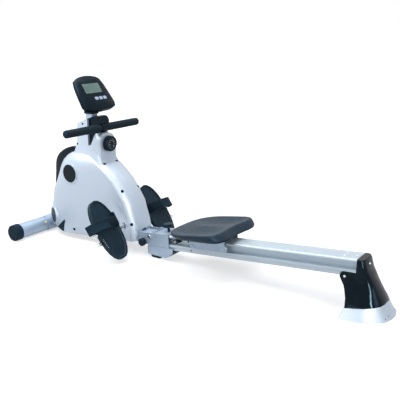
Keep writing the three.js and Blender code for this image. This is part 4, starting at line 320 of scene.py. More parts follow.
# %% [markdown]
# ### Moulded silver-blue plastic
# The housing is injection moulded and sprayed in a pale silver-blue, with a fine metal flake under a satin
# lacquer. A flake of just under a millimetre varies the colour. The lacquer could be a second shader mixed in
# by angle, but the Principled shader's own coat does that in one socket, and gives the soft highlight.

# %% Silver shell
silver_shell = new_finish("silver_shell", 0.4, 0.3)
shader_of(silver_shell).inputs["Coat Weight"].default_value = 0.05
shader_of(silver_shell).inputs["Coat Roughness"].default_value = 0.3
flake_size = 0.8 * MM
colours(silver_shell, noise(silver_shell, flake_size, 2), (184, 197, 212), (200, 212, 226))
gloss(silver_shell, noise(silver_shell, 60 * MM), 0.38, 0.46)
relief(silver_shell, noise(silver_shell, 2 * flake_size), 0.02 * MM)
print("flake", round(flake_size / MM, 2))

# %% [markdown]
# ### Painted steel
# The frame is powder coated in a darker silver-blue. Powder coat has a slight orange peel, and along its
# edges the paint is thinner and looks lighter. The edges could be painted by hand, but the Bevel node finds
# them by itself: where its rounded normal leaves the true one, the surface is close to an edge.

# %% Painted steel
painted_steel = new_finish("painted_steel", 0.4, 0.35)
worn_edge_width = 1.2 * MM
worn_edge_colour = linear(186, 198, 214)
flat_likeness, edge_likeness = 1.0, 0.8
paint_tree = painted_steel.node_tree
paint_ramp = colours(painted_steel, noise(painted_steel, 40 * MM), (158, 176, 196), (168, 186, 206))
rounded_normal = new_node(paint_tree, "ShaderNodeBevel")
rounded_normal.inputs["Radius"].default_value = worn_edge_width
true_normal = new_node(paint_tree, "ShaderNodeNewGeometry")
likeness = new_node(paint_tree, "ShaderNodeVectorMath", operation="DOT_PRODUCT")
edge_mask = new_node(paint_tree, "ShaderNodeMapRange")
edge_mask.inputs["From Min"].default_value = flat_likeness
edge_mask.inputs["From Max"].default_value = edge_likeness
edge_mix = new_node(paint_tree, "ShaderNodeMix", data_type="RGBA")
edge_mix.inputs["B"].default_value = (*worn_edge_colour, 1)
paint_tree.links.new(rounded_normal.outputs["Normal"], likeness.inputs[0])
paint_tree.links.new(true_normal.outputs["Normal"], likeness.inputs[1])
paint_tree.links.new(likeness.outputs["Value"], edge_mask.inputs["Value"])
paint_tree.links.new(edge_mask.outputs["Result"], edge_mix.inputs["Factor"])
paint_tree.links.new(paint_ramp.outputs["Color"], edge_mix.inputs["A"])
paint_tree.links.new(edge_mix.outputs["Result"], shader_of(painted_steel).inputs["Base Color"])
gloss(painted_steel, noise(painted_steel, 25 * MM), 0.36, 0.46)
relief(painted_steel, noise(painted_steel, 3 * MM), 0.06 * MM)
print("worn edge", round(worn_edge_width / MM, 2))

# %% [markdown]
# ### Black plastics, foam and rubber
# Grained black plastic has a spark-eroded texture that scatters light. Satin black, on the console and the
# handle's cradle, is smoother, and polished black shows only the faint ripple of the mould. Foam is full of
# small cells, and rubber is close and dull. One black for all would be quicker, but their gloss is what tells
# these pieces apart.

# %% Blacks
cool_reflection = (0.5, 0.78, 1.0, 1)


def low_specular(finish, level):
    """Blacks in a white studio would look grey with the full reflection, so it is held back and cooled."""
    shader_of(finish).inputs["Specular IOR Level"].default_value = level
    shader_of(finish).inputs["Specular Tint"].default_value = cool_reflection


grained_black = new_finish("grained_black", 0.5)
low_specular(grained_black, 0.22)
colours(grained_black, noise(grained_black, 30 * MM), (15, 31, 42), (24, 41, 53))
gloss(grained_black, noise(grained_black, 12 * MM), 0.42, 0.56)
relief(grained_black, noise(grained_black, 0.7 * MM), 0.05 * MM)

polished_black = new_finish("polished_black", 0.08)
low_specular(polished_black, 0.2)
colours(polished_black, noise(polished_black, 50 * MM), (2, 6, 12), (5, 11, 19))
gloss(polished_black, noise(polished_black, 20 * MM), 0.06, 0.13)
relief(polished_black, noise(polished_black, 30 * MM, 1), 0.05 * MM)

satin_black = new_finish("satin_black", 0.32)
low_specular(satin_black, 0.14)
colours(satin_black, noise(satin_black, 25 * MM), (5, 16, 24), (10, 24, 33))
gloss(satin_black, noise(satin_black, 15 * MM), 0.26, 0.38)
relief(satin_black, noise(satin_black, 0.9 * MM), 0.02 * MM)

grip_foam = new_finish("grip_foam", 0.85)
low_specular(grip_foam, 0.15)
colours(grip_foam, noise(grip_foam, 1.2 * MM), (24, 34, 40), (38, 49, 56))
relief(grip_foam, noise(grip_foam, 0.9 * MM), 0.12 * MM)

dull_rubber = new_finish("dull_rubber", 0.7)
low_specular(dull_rubber, 0.2)
colours(dull_rubber, noise(dull_rubber, 18 * MM), (12, 27, 40), (20, 38, 52))
gloss(dull_rubber, noise(dull_rubber, 9 * MM), 0.6, 0.78)
relief(dull_rubber, noise(dull_rubber, 1.1 * MM), 0.04 * MM)
blacks = (grained_black, polished_black, satin_black, grip_foam, dull_rubber)
print("blacks", [finish.name for finish in blacks])

# %% [markdown]
# ### Seat skin
# The seat is integral-skin foam: it comes out of the mould with its own tough skin and a leather-like grain.
# Plain noise would look like sand. Voronoi cells, read by their distance to the nearest edge, give the
# grain's creases.

# %% Seat skin
seat_skin = new_finish("seat_skin", 0.5)
grain_size = 2.4 * MM
skin_tree = seat_skin.node_tree
skin_cells = new_node(skin_tree, "ShaderNodeTexVoronoi", feature="DISTANCE_TO_EDGE")
skin_cells.inputs["Scale"].default_value = 1 / grain_size
skin_tree.links.new(object_coordinates(seat_skin), skin_cells.inputs["Vector"])
low_specular(seat_skin, 0.3)
colours(seat_skin, noise(seat_skin, 35 * MM), (23, 37, 50), (32, 47, 61))
gloss(seat_skin, noise(seat_skin, 14 * MM), 0.42, 0.55)
relief(seat_skin, skin_cells.outputs["Distance"], 0.12 * MM, 0.5)
relief(seat_skin, noise(seat_skin, 0.8 * MM), 0.04 * MM)
print("seat grain", round(grain_size / MM, 2))

# %% [markdown]
# ### Metals
# The rail is an aluminium extrusion: the die leaves fine lines along it, so its noise is stretched along the
# rail's slope. The flywheel is turned on a lathe, which leaves rings round its shaft, and a wave texture
# centred there draws them. An anisotropic shader could give such streaks too, but these lines also show in
# the colour. Screws and the handle bar are plated.

# %% Metals
rail_slope = math.radians(5.65)
die_line_stretch = 0.012
anodised_rail = new_finish("anodised_rail", 0.42, 0.4)
die_lines = object_coordinates(anodised_rail, stretch=(die_line_stretch, 1, 1), turn=(0, rail_slope, 0))
colours(anodised_rail, noise(anodised_rail, 1.5 * MM, 3, die_lines), (174, 188, 200), (196, 208, 218))
gloss(anodised_rail, noise(anodised_rail, 2 * MM, 3, die_lines), 0.38, 0.5)
relief(anodised_rail, noise(anodised_rail, 1 * MM, 3, die_lines), 0.02 * MM)

bright_plate = new_finish("bright_plate", 0.24, 1.0)
colours(bright_plate, noise(bright_plate, 15 * MM), (196, 200, 205), (214, 217, 220))
gloss(bright_plate, noise(bright_plate, 6 * MM), 0.18, 0.32)

yellow_zinc = new_finish("yellow_zinc", 0.32, 1.0)
colours(yellow_zinc, noise(yellow_zinc, 3 * MM), (186, 176, 120), (214, 208, 160))

wheel_centre = (-700 * MM, 0, 205 * MM)
ring_pitch, ring_wobble = 3.2 * MM, 0.6
turned_iron = new_finish("turned_iron", 0.4, 0.9)
iron_tree = turned_iron.node_tree
rings = new_node(iron_tree, "ShaderNodeTexWave", wave_type="RINGS", rings_direction="Y")
rings.inputs["Scale"].default_value = 1 / ring_pitch
rings.inputs["Distortion"].default_value = ring_wobble
iron_tree.links.new(object_coordinates(turned_iron, centre=wheel_centre), rings.inputs["Vector"])
colours(turned_iron, noise(turned_iron, 25 * MM), (70, 74, 78), (96, 100, 104))
relief(turned_iron, rings.outputs["Fac"], 0.03 * MM)
print("rail slope", round(math.degrees(rail_slope), 2))

# %% [markdown]
# ### Small finishes
# Nylon rollers are milky, so a little light travels under their skin. The keys are satin. The screws of the
# housing sit in pockets, and the rail and the foot have open holes: a near-black, held back from all gloss,
# is painted shade for the inside of these. The display is a grey-green liquid crystal under a clear window.
# That could be two panes, one behind the other, but a gloss coat over the grey-green looks the same and needs
# no more mesh.

# %% Small finishes
milky_depth = 2 * MM
milky_nylon = new_finish("milky_nylon", 0.45)
shader_of(milky_nylon).inputs["Subsurface Weight"].default_value = 0.15
shader_of(milky_nylon).inputs["Subsurface Radius"].default_value = (milky_depth,) * 3
colours(milky_nylon, noise(milky_nylon, 8 * MM), (218, 221, 222), (230, 232, 232))

key_plastic = new_finish("key_plastic", 0.4)
colours(key_plastic, noise(key_plastic, 6 * MM), (112, 130, 156), (130, 147, 172))
relief(key_plastic, noise(key_plastic, 0.6 * MM), 0.02 * MM)

pad_plastic = new_finish("pad_plastic", 0.45)
colours(pad_plastic, noise(pad_plastic, 5 * MM), (170, 184, 206), (184, 197, 216))
relief(pad_plastic, noise(pad_plastic, 0.6 * MM), 0.02 * MM)

display_window = new_finish("display_window", 0.3)
shader_of(display_window).inputs["Coat Weight"].default_value = 0.35
shader_of(display_window).inputs["Coat Roughness"].default_value = 0.04
low_specular(display_window, 0.2)
colours(display_window, noise(display_window, 45 * MM, 1), (88, 112, 106), (104, 127, 120))

display_ink = new_finish("display_ink", 0.35)
colours(display_ink, noise(display_ink, 4 * MM), (72, 86, 82), (80, 94, 90))

print_white = new_finish("print_white", 0.55)
colours(print_white, noise(print_white, 1 * MM), (208, 214, 220), (232, 236, 240))

# Painted shade: the near-black of the flat rings that stand for the shade inside pockets and holes.
hole_shade_black = new_finish("hole_shade_black", 0.9)
low_specular(hole_shade_black, 0.05)
colours(hole_shade_black, noise(hole_shade_black, 2 * MM), (4, 6, 8), (10, 13, 16))

print("milky depth", round(milky_depth / MM, 2))

# %% [markdown]
# ### Woven strap
# The pull strap and the patch on each foot strap are nylon webbing. Real threads would need thousands of
# small bends. Two sine waves do it here, one across the strap and one along it: their product raises and
# lowers the surface like a plain weave. The colour follows the same height and is darker where it is low,
# a painted shade between the threads.

# %% Woven strap
thread_pitch = 1.3 * MM
woven_strap = new_finish("woven_strap", 0.8)
low_specular(woven_strap, 0.15)
weave_tree = woven_strap.node_tree


def threads(tree, value):
    """A sine wave along a coordinate, one swell a thread."""
    turns = new_node(tree, "ShaderNodeMath", operation="MULTIPLY")
    turns.inputs[1].default_value = 2 * math.pi / thread_pitch
    wave = new_node(tree, "ShaderNodeMath", operation="SINE")
    tree.links.new(value, turns.inputs[0])
    tree.links.new(turns.outputs[0], wave.inputs[0])
    return wave.outputs[0]


split = new_node(weave_tree, "ShaderNodeSeparateXYZ")
weave_tree.links.new(object_coordinates(woven_strap), split.inputs[0])
lengthwise = new_node(weave_tree, "ShaderNodeMath", operation="ADD")
weave_tree.links.new(split.outputs["X"], lengthwise.inputs[0])
weave_tree.links.new(split.outputs["Z"], lengthwise.inputs[1])
crossing = new_node(weave_tree, "ShaderNodeMath", operation="MULTIPLY")
weave_tree.links.new(threads(weave_tree, lengthwise.outputs[0]), crossing.inputs[0])
weave_tree.links.new(threads(weave_tree, split.outputs["Y"]), crossing.inputs[1])
weave_height = new_node(weave_tree, "ShaderNodeMapRange")
weave_height.inputs["From Min"].default_value = -1
weave_tree.links.new(crossing.outputs[0], weave_height.inputs["Value"])
# Painted shade: the colour is darker where the weave is low, between the threads.
colours(woven_strap, weave_height.outputs["Result"], (7, 15, 24), (20, 32, 44), 0.2, 0.9)
relief(woven_strap, weave_height.outputs["Result"], 0.2 * MM)
print("thread pitch", round(thread_pitch / MM, 2))

# %% [markdown]
# ## Dressing the solids
# Most solids already have the right shape and only need a finish. They come in as loose flat triangles. Their
# meshes could be cleaned by hand, but they have to stay as they are, so a small Geometry Nodes modifier joins
# their points and shades them smooth, except across edges sharper than a set angle.

# %% Smoothing tree
merge_distance = 0.01 * MM


def smoothing_tree():
    tree = bpy.data.node_groups.new("smooth_faces", "GeometryNodeTree")
    tree.interface.new_socket("Geometry", in_out="INPUT", socket_type="NodeSocketGeometry")
    limit = tree.interface.new_socket("Sharp Angle", in_out="INPUT", socket_type="NodeSocketFloat")
    limit.subtype = "ANGLE"
    tree.interface.new_socket("Geometry", in_out="OUTPUT", socket_type="NodeSocketGeometry")
    start = new_node(tree, "NodeGroupInput")
    merge = new_node(tree, "GeometryNodeMergeByDistance")
    merge.inputs["Distance"].default_value = merge_distance
    smooth = new_node(tree, "GeometryNodeSetShadeSmooth", domain="FACE")
    edge = new_node(tree, "GeometryNodeInputMeshEdgeAngle")
    sharp = new_node(tree, "FunctionNodeCompare", operation="GREATER_THAN")
    crease = new_node(tree, "GeometryNodeSetShadeSmooth", domain="EDGE")
    crease.inputs["Shade Smooth"].default_value = False
    end = new_node(tree, "NodeGroupOutput")
    tree.links.new(start.outputs["Geometry"], merge.inputs["Geometry"])
    tree.links.new(merge.outputs["Geometry"], smooth.inputs["Geometry"])
    tree.links.new(smooth.outputs["Geometry"], crease.inputs["Geometry"])
    tree.links.new(edge.outputs["Unsigned Angle"], sharp.inputs[0])
    tree.links.new(start.outputs["Sharp Angle"], sharp.inputs[1])
    tree.links.new(sharp.outputs[0], crease.inputs["Selection"])
    tree.links.new(crease.outputs["Geometry"], end.inputs["Geometry"])
    return tree, limit.identifier


smooth_faces, sharp_angle_input = smoothing_tree()
print("smoothing nodes", len(smooth_faces.nodes))

# %% [markdown]
# ### A small round on the edges
# No moulded or bent edge is knife sharp: a round of about a millimetre catches a line of light. The solids
# leave it out. A Bevel modifier adds it to the pieces where the line shows, and only to edges that turn
# sharply.

# %% Dressing
sharp_angle = math.radians(32)
round_edge_angle = math.radians(40)
round_edge_segments = 2


def dress(name, finish, edge_round):
    """Gives a solid its finish and smooth shading, and its edges a small round unless it is zero."""
    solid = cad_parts[name]
    solid.data.materials.clear()
    solid.data.materials.append(finish)
    smooth = solid.modifiers.new("smooth_faces", "NODES")
    smooth.node_group = smooth_faces
    smooth[sharp_angle_input] = sharp_angle
    if edge_round:
        bevel = solid.modifiers.new("edge_round", "BEVEL")
        bevel.width = edge_round
        bevel.segments = round_edge_segments
        bevel.limit_method = "ANGLE"
        bevel.angle_limit = round_edge_angle
        bevel.harden_normals = True


print("edges over", round(math.degrees(sharp_angle)), "degrees stay sharp")

# %% [markdown]
# ### Which finish goes where
# On the real machine the housing is silver plastic, the frame painted steel, the rail aluminium, and the
# covers, knobs and feet are blacks of different gloss. A table by name is easier to read and to change than a
# call for each solid, and a loop adds the left and right pieces.

# %% Finishes of the solids
sides = {"left": -1, "right": 1}
node_finishes = {
    "stabilizer_tube": painted_steel, "main_beam": painted_steel, "hinge_block": painted_steel,
    "mast_tube": painted_steel, "rail_bracket": painted_steel, "seat_carriage": painted_steel,
    "magnet_yoke": painted_steel, "pivot_bolt": bright_plate, "pedal_axle": bright_plate,
    "handle_bar": bright_plate, "pull_knob": grained_black, "handle_cradle": satin_black,
    "front_belly_pan": grained_black, "tension_dial": satin_black, "handle_clamp": satin_black,
    "console_front": satin_black, "console_back": satin_black, "flywheel_pulley": grained_black,
    "drive_pulley": grained_black, "strap_drum": grained_black, "spring_case": grained_black,
    "star_knob": grained_black, "front_guard": polished_black, "leg_cover": polished_black,
    "guide_roller": milky_nylon, "display_lens": display_window, "flywheel": turned_iron,
    "drive_belt": dull_rubber, "rail": anodised_rail, "front_stop": dull_rubber, "leg_foot": silver_shell,
    "button_left": key_plastic, "button_middle": key_plastic, "button_right": key_plastic,
    "pull_strap": woven_strap, "seat": seat_skin,
}
for side in sides:
    node_finishes[f"stabilizer_cap_{side}"] = dull_rubber
    node_finishes[f"middle_foot_{side}"] = dull_rubber
    node_finishes[f"{side}_shell"] = silver_shell
    node_finishes[f"mast_cover_{side}"] = silver_shell
    node_finishes[f"side_cap_{side}"] = polished_black
    node_finishes[f"corner_cap_{side}"] = grained_black
    node_finishes[f"{side}_pedal"] = grained_black
    node_finishes[f"{side}_foot_strap"] = dull_rubber
    node_finishes[f"grip_{side}"] = grip_foam
    for place in ("front", "middle", "rear"):
        node_finishes[f"{place}_{side}_roller"] = milky_nylon
rounded_edges = {
    "console_front": 2.0 * MM, "rail_bracket": 0.8 * MM, "seat_carriage": 0.6 * MM, "hinge_block": 0.8 * MM,
    "handle_cradle": 1.2 * MM, "rail": 0.7 * MM,
}
for name, finish in node_finishes.items():
    dress(name, finish, rounded_edges.get(name, 0.0))
undressed = sorted(set(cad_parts) - set(node_finishes))
print("solids with no finish", undressed)

# %% [markdown]
# ## Places on the machine
# Three parts of the machine are easier to draw in their own directions: the sloping rail, the leaning foot
# plates and the tilted console. Each piece could be turned as an object, but it would then no longer sit at
# the origin. A matrix carries each drawing to its place instead, and the finished mesh keeps it.

# %% Places
pivot_place = Vector((-192, 0, 96)) * MM
rail_place = Matrix.Translation(pivot_place) @ Matrix.Rotation(-rail_slope, 4, "Y")
pedal_lean = math.radians(53.5)
pedal_middle = Vector((-333, 170, 124.5)) * MM
console_middle = Vector((-571, 0, 747)) * MM
console_tilt = math.radians(55)
console_place = Matrix.Translation(console_middle) @ Matrix.Rotation(console_tilt, 4, "Y")


def pedal_place(side):
    middle = Vector((pedal_middle.x, side * pedal_middle.y, pedal_middle.z))
    return Matrix.Translation(middle) @ Matrix.Rotation(pedal_lean, 4, "Y")


print("foot plates lean", round(math.degrees(pedal_lean), 1))
print("console tilts", round(math.degrees(console_tilt), 1))

# %% [markdown]
# ### Lofting
# A moulded piece is a row of outlines, one above another. Sculpting or boxes with many modifiers would be
# harder to repeat exactly. So the helper used most skins a row of rings that have equal counts, and the mesh
# is then carried to its place, turned outwards and put on its body.

# %% Helpers for lofting
def lofted(rings):
    """Vertices and faces of a closed skin over rings of equal count."""
    count = len(rings[0])
    vertices = [point for ring in rings for point in ring]
    faces = []
    for level in range(len(rings) - 1):
        for index in range(count):
            low, low_next = level * count + index, level * count + (index + 1) % count
            faces.append((low, low_next, low_next + count, low + count))
    faces.append(tuple(range(count)))
    faces.append(tuple(range(len(vertices) - count, len(vertices))))
    return vertices, faces


def turned_outwards(mesh, merge=0.0):
    """Turns the faces outwards. Points closer together than merge are joined first."""
    work = bmesh.new()
    work.from_mesh(mesh)
    if merge:
        bmesh.ops.remove_doubles(work, verts=work.verts, dist=merge)
    bmesh.ops.recalc_face_normals(work, faces=work.faces)
    work.to_mesh(mesh)
    work.free()


def finished(name, vertices, faces, finish, body, place, smooth=True):
    """A closed mesh, carried to its place, with its faces turned outwards. It rides on the body."""
    mesh = bpy.data.meshes.new(name)
    mesh.from_pydata([tuple(vertex) for vertex in vertices], [], faces)
    mesh.transform(place)
    turned_outwards(mesh, merge=0.1 * merge_distance)
    mesh.polygons.foreach_set("use_smooth", [smooth] * len(mesh.polygons))
    mesh.materials.append(finish)
    piece = bpy.data.objects.new(name, mesh)
    bpy.context.scene.collection.objects.link(piece)
    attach(piece, body)
    return piece


print("faces over two rings of four", len(lofted([[(0, 0, 0)] * 4] * 2)[1]))

# %% [markdown]
# ### Turning and rounding
# Grips, plugs and pegs are round about one line, as if turned on a lathe. The Screw modifier can spin a
# profile too, but round rings in the same loft give a closed skin with both ends capped. Moulded pieces have
# soft edges, and one level of subdivision rounds theirs off.

# %% Helpers for turning and rounding
def lathed(profile, steps):
    """Rings round the Y axis from rows of radius and place along it."""
    turns = [2 * math.pi * step / steps for step in range(steps)]
    rings = [
        [(radius * math.cos(turn), along, radius * math.sin(turn)) for turn in turns]
        for radius, along in profile
    ]
    return lofted(rings)


def subdivided(piece):
    """Rounds a piece off by one level of subdivision."""
    rounds = piece.modifiers.new("rounds", "SUBSURF")
    rounds.levels = 1
    rounds.render_levels = 1


print("faces of a lathed rod of 8 steps", len(lathed([(MM, 0), (MM, MM)], 8)[1]))

# %% [markdown]
# ## Seat
# The real seat is moulded in one piece from integral-skin foam over a hard pan. Its top is hollowed for the
# sitting bones and rises to the rear, the rear face leans forward, with a shallow notch for the tail bone,
# and the flanks draw in below. It could be sculpted, but a formula stays even on both sides: it gives the
# point at any turn round the seat, any share of the outline and any share of the height.

# %% Seat formula
seat_middle = 297 * MM
seat_front_reach = 137 * MM
seat_rear_reach = 148 * MM
seat_half_width = 163 * MM
seat_bottom = 41 * MM
seat_top = 60 * MM
seat_rear_rise = 14 * MM
hollow_depth = 13 * MM
notch_depth = 12 * MM
rear_lean, rear_lean_level = 30 * MM, 0.35
notch_half_width = 34 * MM
seat_powers = {"front": 2.9, "rear": 7.0}
hollow_shares = {"side": 0.5, "front": 0.2, "spread": 0.42, "reach": 0.62, "ridge": 0.25}


def smooth_step(value, low, high):
    share = min(max((value - low) / (high - low), 0), 1)
    return share * share * (3 - 2 * share)


def seat_point(turn, scale, level):
    """A point of the seat's skin at a turn round it, a share of its outline and a share of its height."""
    ahead = "rear" if math.cos(turn) > 0 else "front"
    reach = seat_front_reach
    if ahead == "rear":
        reach = seat_rear_reach + rear_lean * (rear_lean_level - level)
    power = seat_powers[ahead]
    across = math.copysign(abs(math.sin(turn)) ** (2 / power), math.sin(turn))
    along = math.copysign(abs(math.cos(turn)) ** (2 / power), math.cos(turn))
    notch = 0.0
    if ahead == "rear":
        notch = notch_depth * math.exp(-((across * seat_half_width / notch_half_width) ** 2))
    x = (along * reach - notch) * scale
    y = across * seat_half_width * scale
    rim = seat_top + seat_rear_rise * smooth_step(x, -seat_front_reach, seat_rear_reach)
    near_side = abs(y) / seat_half_width - hollow_shares["side"]
    near_front = x / seat_rear_reach - hollow_shares["front"]
    off_middle = (near_side / hollow_shares["spread"]) ** 2 + (near_front / hollow_shares["reach"]) ** 2
    bowl = math.exp(-off_middle)
    dip = hollow_depth * bowl * smooth_step(1 - scale, 0, hollow_shares["ridge"])
    return Vector((seat_middle + x, y, seat_bottom + (rim - seat_bottom) * level - dip * level))


print("rear rim stands at", round(seat_point(0, 1, 1).z / MM, 1))

# %% [markdown]
# ### Seat cushion
# Rings of such points run from under the seat, round the rim and over the top. They could lie evenly, but
# here they lie closer together at the rim, where the skin turns fastest. They are skinned and then
# subdivided, which keeps the rim soft.

# %% Seat cushion
def seat_rings(ring_shares, steps=72):
    return [[seat_point(2 * math.pi * step / steps, scale, level) for step in range(steps)]
            for scale, level in ring_shares]


# Rows are the share of the outline and the share of the height, from below, round the rim and over the top
cushion_shares = [
    (0.02, 0.04), (0.5, 0.04), (0.86, 0.04), (0.94, 0.05), (0.965, 0.12), (0.978, 0.24), (0.988, 0.42),
    (0.996, 0.62), (1.0, 0.8), (0.998, 0.9), (0.99, 0.965), (0.975, 1.0), (0.95, 1.02), (0.91, 1.02),
    (0.86, 1.01), (0.8, 1), (0.72, 1), (0.62, 1), (0.5, 1), (0.38, 1), (0.24, 1), (0.1, 1), (0.02, 1),
]
seat_cushion = finished(
    "seat_cushion", *lofted(seat_rings(cushion_shares)), seat_skin, "sliding_seat", rail_place,
)
subdivided(seat_cushion)
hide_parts("seat")

print("seat box", [round(value / MM) for value in seat_cushion.dimensions])

# %% [markdown]
# ### Seat pan and spacer
# Under the foam a glossy hard pan shows as a thin lip, and a plain block carries both on the carriage. The
# pan follows the cushion's own outline, so the same formula makes it. The block is a box with round corners.

# %% Seat pan and spacer
pan_shares = [
    (0.02, -0.12), (0.6, -0.12), (0.85, -0.1), (0.925, -0.05), (0.945, 0.02), (0.935, 0.09), (0.9, 0.12),
    (0.02, 0.12),
]
seat_pan = finished("seat_pan", *lofted(seat_rings(pan_shares)), polished_black, "sliding_seat", rail_place)
subdivided(seat_pan)

spacer_bottom = 26.7 * MM
spacer_half_length = 70 * MM
spacer_half_width = 44 * MM
spacer_corner = 6 * MM


def rounded_ring(half_x, half_y, corner, height, middle_x=0.0, steps=4):
    """A rectangle with round corners, as one ring of points."""
    ring = []
    for turn_x, turn_y, start in ((1, 1, 0), (-1, 1, 90), (-1, -1, 180), (1, -1, 270)):
        for step in range(steps + 1):
            turn = math.radians(start + 90 * step / steps)
            ring.append(Vector((
                middle_x + turn_x * (half_x - corner) + corner * math.cos(turn),
                turn_y * (half_y - corner) + corner * math.sin(turn), height,
            )))
    return ring


spacer_rings = [
    rounded_ring(spacer_half_length, spacer_half_width, spacer_corner, height, seat_middle)
    for height in (spacer_bottom, seat_bottom)
]
seat_spacer = finished(
    "seat_spacer", *lofted(spacer_rings), grained_black, "sliding_seat", rail_place, smooth=False,
)
print("spacer height", round((seat_bottom - spacer_bottom) / MM, 1))

# %% [markdown]
# ## Grips
# Closed-cell foam tubes are pushed over the handle bar, and a moulded plug closes each end. Foam has no crisp
# edge: its ends roll over in a small round. A cylinder with a Bevel would come close. A profile turned about
# the bar gives the tube, its bore and the rolled ends in one go.

# %% Grips
handle_place = Matrix.Translation(Vector((-497, 0, 550)) * MM)
grip_radius = 17.8 * MM
grip_inner = 21 * MM
grip_end = 232.5 * MM
bar_radius = 12.9 * MM
plug_radius = 16.6 * MM
plug_reach = 5 * MM
plug_depth = 15 * MM
plug_core = 2 * MM
end_round = 3 * MM
grip_steps = 64


def round_over(radius, edge, low, high, steps=5):
    """Profile rows of a rod whose two ends roll over."""
    rows = []
    for step in range(steps + 1):
        turn = math.pi / 2 * step / steps
        rows.append((radius - edge + edge * math.sin(turn), low + edge * (1 - math.cos(turn))))
    for step in range(steps + 1):
        turn = math.pi / 2 * (1 - step / steps)
        rows.append((radius - edge + edge * math.sin(turn), high - edge * (1 - math.cos(turn))))
    return rows


for name, side in sides.items():
    sleeve = [(bar_radius, grip_inner)]
    sleeve += round_over(grip_radius, end_round, grip_inner, grip_end - plug_reach)
    sleeve += [(bar_radius, grip_end - plug_reach)]
    rows = [(radius, side * along) for radius, along in sleeve]
    grip_sleeve = finished(f"{name}_grip_foam", *lathed(rows, grip_steps), grip_foam, "handle", handle_place)
    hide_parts(f"grip_{name}")
    plug = [(plug_core, grip_end - plug_depth)]
    plug += round_over(plug_radius, end_round, grip_end - plug_reach, grip_end)[:-1]
    plug += [(plug_core, grip_end)]
    rows = [(radius, side * along) for radius, along in plug]
    grip_plug = finished(f"{name}_grip_plug", *lathed(rows, grip_steps), dull_rubber, "handle", handle_place)
print("grips", 2 * len(sides), "pieces")

# %% [markdown]
# ## Foot straps
# Each foot plate has a moulded rubber strap with two raised ribs. It starts in a slot at the inner edge,
# arches over the shoe, droops outside the outer edge and comes back up to it. A Bezier curve drawn by hand
# could give that route. Here a smooth curve runs through a few chosen points, given as shares, so that the
# strap keeps its form when a size is changed.

# %% Strap route
pedal_half_width = 67.5 * MM
pedal_face = 16 * MM
pedal_rim = 3 * MM
strap_root = 53 * MM
strap_bulge = 45 * MM
strap_arch = 32 * MM
strap_droop = 11 * MM
strap_slot_depth = 5 * MM
strap_middle = -26.4 * MM
strap_half_width = 21.5 * MM
strap_half_thickness = 1.5 * MM
strap_shares = [
    (-1, -0.9), (-1, 0.12), (-0.86, 0.7), (-0.45, 0.98), (0.1, 1), (0.58, 0.86), (0.86, 0.45), (1, -0.15),
    (0.97, -0.75), (0.86, -0.95), (0.74, -0.5), (0.65, -0.04), (0.605, 0.04),
]


def strap_route():
    """Places across and above the pedal for each row of shares."""
    route = []
    for out, up in strap_shares:
        across = out * (strap_root if out < 0 else pedal_half_width + strap_bulge)
        drop = strap_slot_depth if out < 0 else strap_droop
        height = pedal_face + (up * drop if up < 0 else pedal_rim + up * strap_arch)
        route.append(Vector((across, height)))
    return route


def along_route(route, share):
    """A point on the smooth curve through the route's points, and the direction across it."""
    spans = len(route) - 1
    place = min(share * spans, spans - 1e-6)
    index = int(place)
    step = place - index
    before = route[max(index - 1, 0)]
    start, end = route[index], route[index + 1]
    after = route[min(index + 2, spans)]
    leave, arrive = (end - before) / 2, (after - start) / 2
    point = (
        start * (2 * step ** 3 - 3 * step ** 2 + 1) + leave * (step ** 3 - 2 * step ** 2 + step)
        + end * (3 * step ** 2 - 2 * step ** 3) + arrive * (step ** 3 - step ** 2)
    )
    way = (
        start * (6 * step ** 2 - 6 * step) + leave * (3 * step ** 2 - 4 * step + 1)
        + end * (6 * step - 6 * step ** 2) + arrive * (3 * step ** 2 - 2 * step)
    ).normalized()
    return point, Vector((-way.y, way.x))


print("points of the route", len(strap_route()))

# %% [markdown]
# ### Sweeping the section
# A flat section with a rib near each edge is swept along the route. A curve object with a bevel could follow
# it, but would twist on the way. Rings that are always square to the route keep the strap flat and its ribs
# where they were moulded.

# %% Strap sweep
# Rows are the share of the half width and the share of the half thickness, once round the section
strap_section_shares = [
    (-1, -0.4), (-0.97, -1), (0, -1), (0.97, -1), (1, -0.4), (1, 0.4), (0.96, 0.9), (0.9, 1.25), (0.84, 0.9),
    (0, 0.85), (-0.84, 0.9), (-0.9, 1.25), (-0.96, 0.9), (-1, 0.4),
]
strap_steps = 120


def swept_strap(side, section, first=0.0, last=1.0, lift=0.0, half_width=strap_half_width):
    """The section swept along the route from one share of it to another, at a height over it."""
    rings = []
    for step in range(strap_steps + 1):
        point, out = along_route(strap_route(), first + (last - first) * step / strap_steps)
        ring = []
        for wide, thick in section:
            offset = point + out * (lift + thick * strap_half_thickness)
            ring.append((strap_middle + wide * half_width, side * offset.x, offset.y))
        rings.append(ring)
    return lofted(rings)


print("rings of a strap", strap_steps + 1)

# %% [markdown]
# ### Strap patch and tail
# A woven patch is sewn over the strap where it crosses the plate's inner half, and the strap's free end
# stands up behind it. The patch uses the strap's own sweep, only a little higher, narrower and shorter, so
# that it follows every bend. The tail is a small flat tongue.

# %% Strap patch and tail
patch_start_share, patch_end_share = 0.14, 0.33
patch_lift = 3.3 * MM
patch_half_width = 0.78 * strap_half_width
patch_section_shares = [(-1, -0.5), (1, -0.5), (1, 0.3), (0.97, 0.5), (-0.97, 0.5), (-1, 0.3)]
tail_low, tail_high = 3 * MM, 15 * MM
tail_root, tail_shoulder, tail_tip = 8 * MM, -17.5 * MM, -25 * MM
tail_tip_share = 0.6
tail_half_thickness = 1.4 * MM


def tail_rings(side):
    middle = -side * (strap_root + 3 * strap_half_thickness)
    start = strap_middle - strap_half_width
    low = pedal_face + tail_low
    ends = ((tail_root, tail_high), (tail_shoulder, tail_high), (tail_tip, tail_tip_share * tail_high))
    rings = []
    for along, high in ends:
        corners = ((-1, low), (1, low), (1, low + high), (-1, low + high))
        rings.append([
            (start + along, middle + edge * tail_half_thickness, height) for edge, height in corners
        ])
    return rings


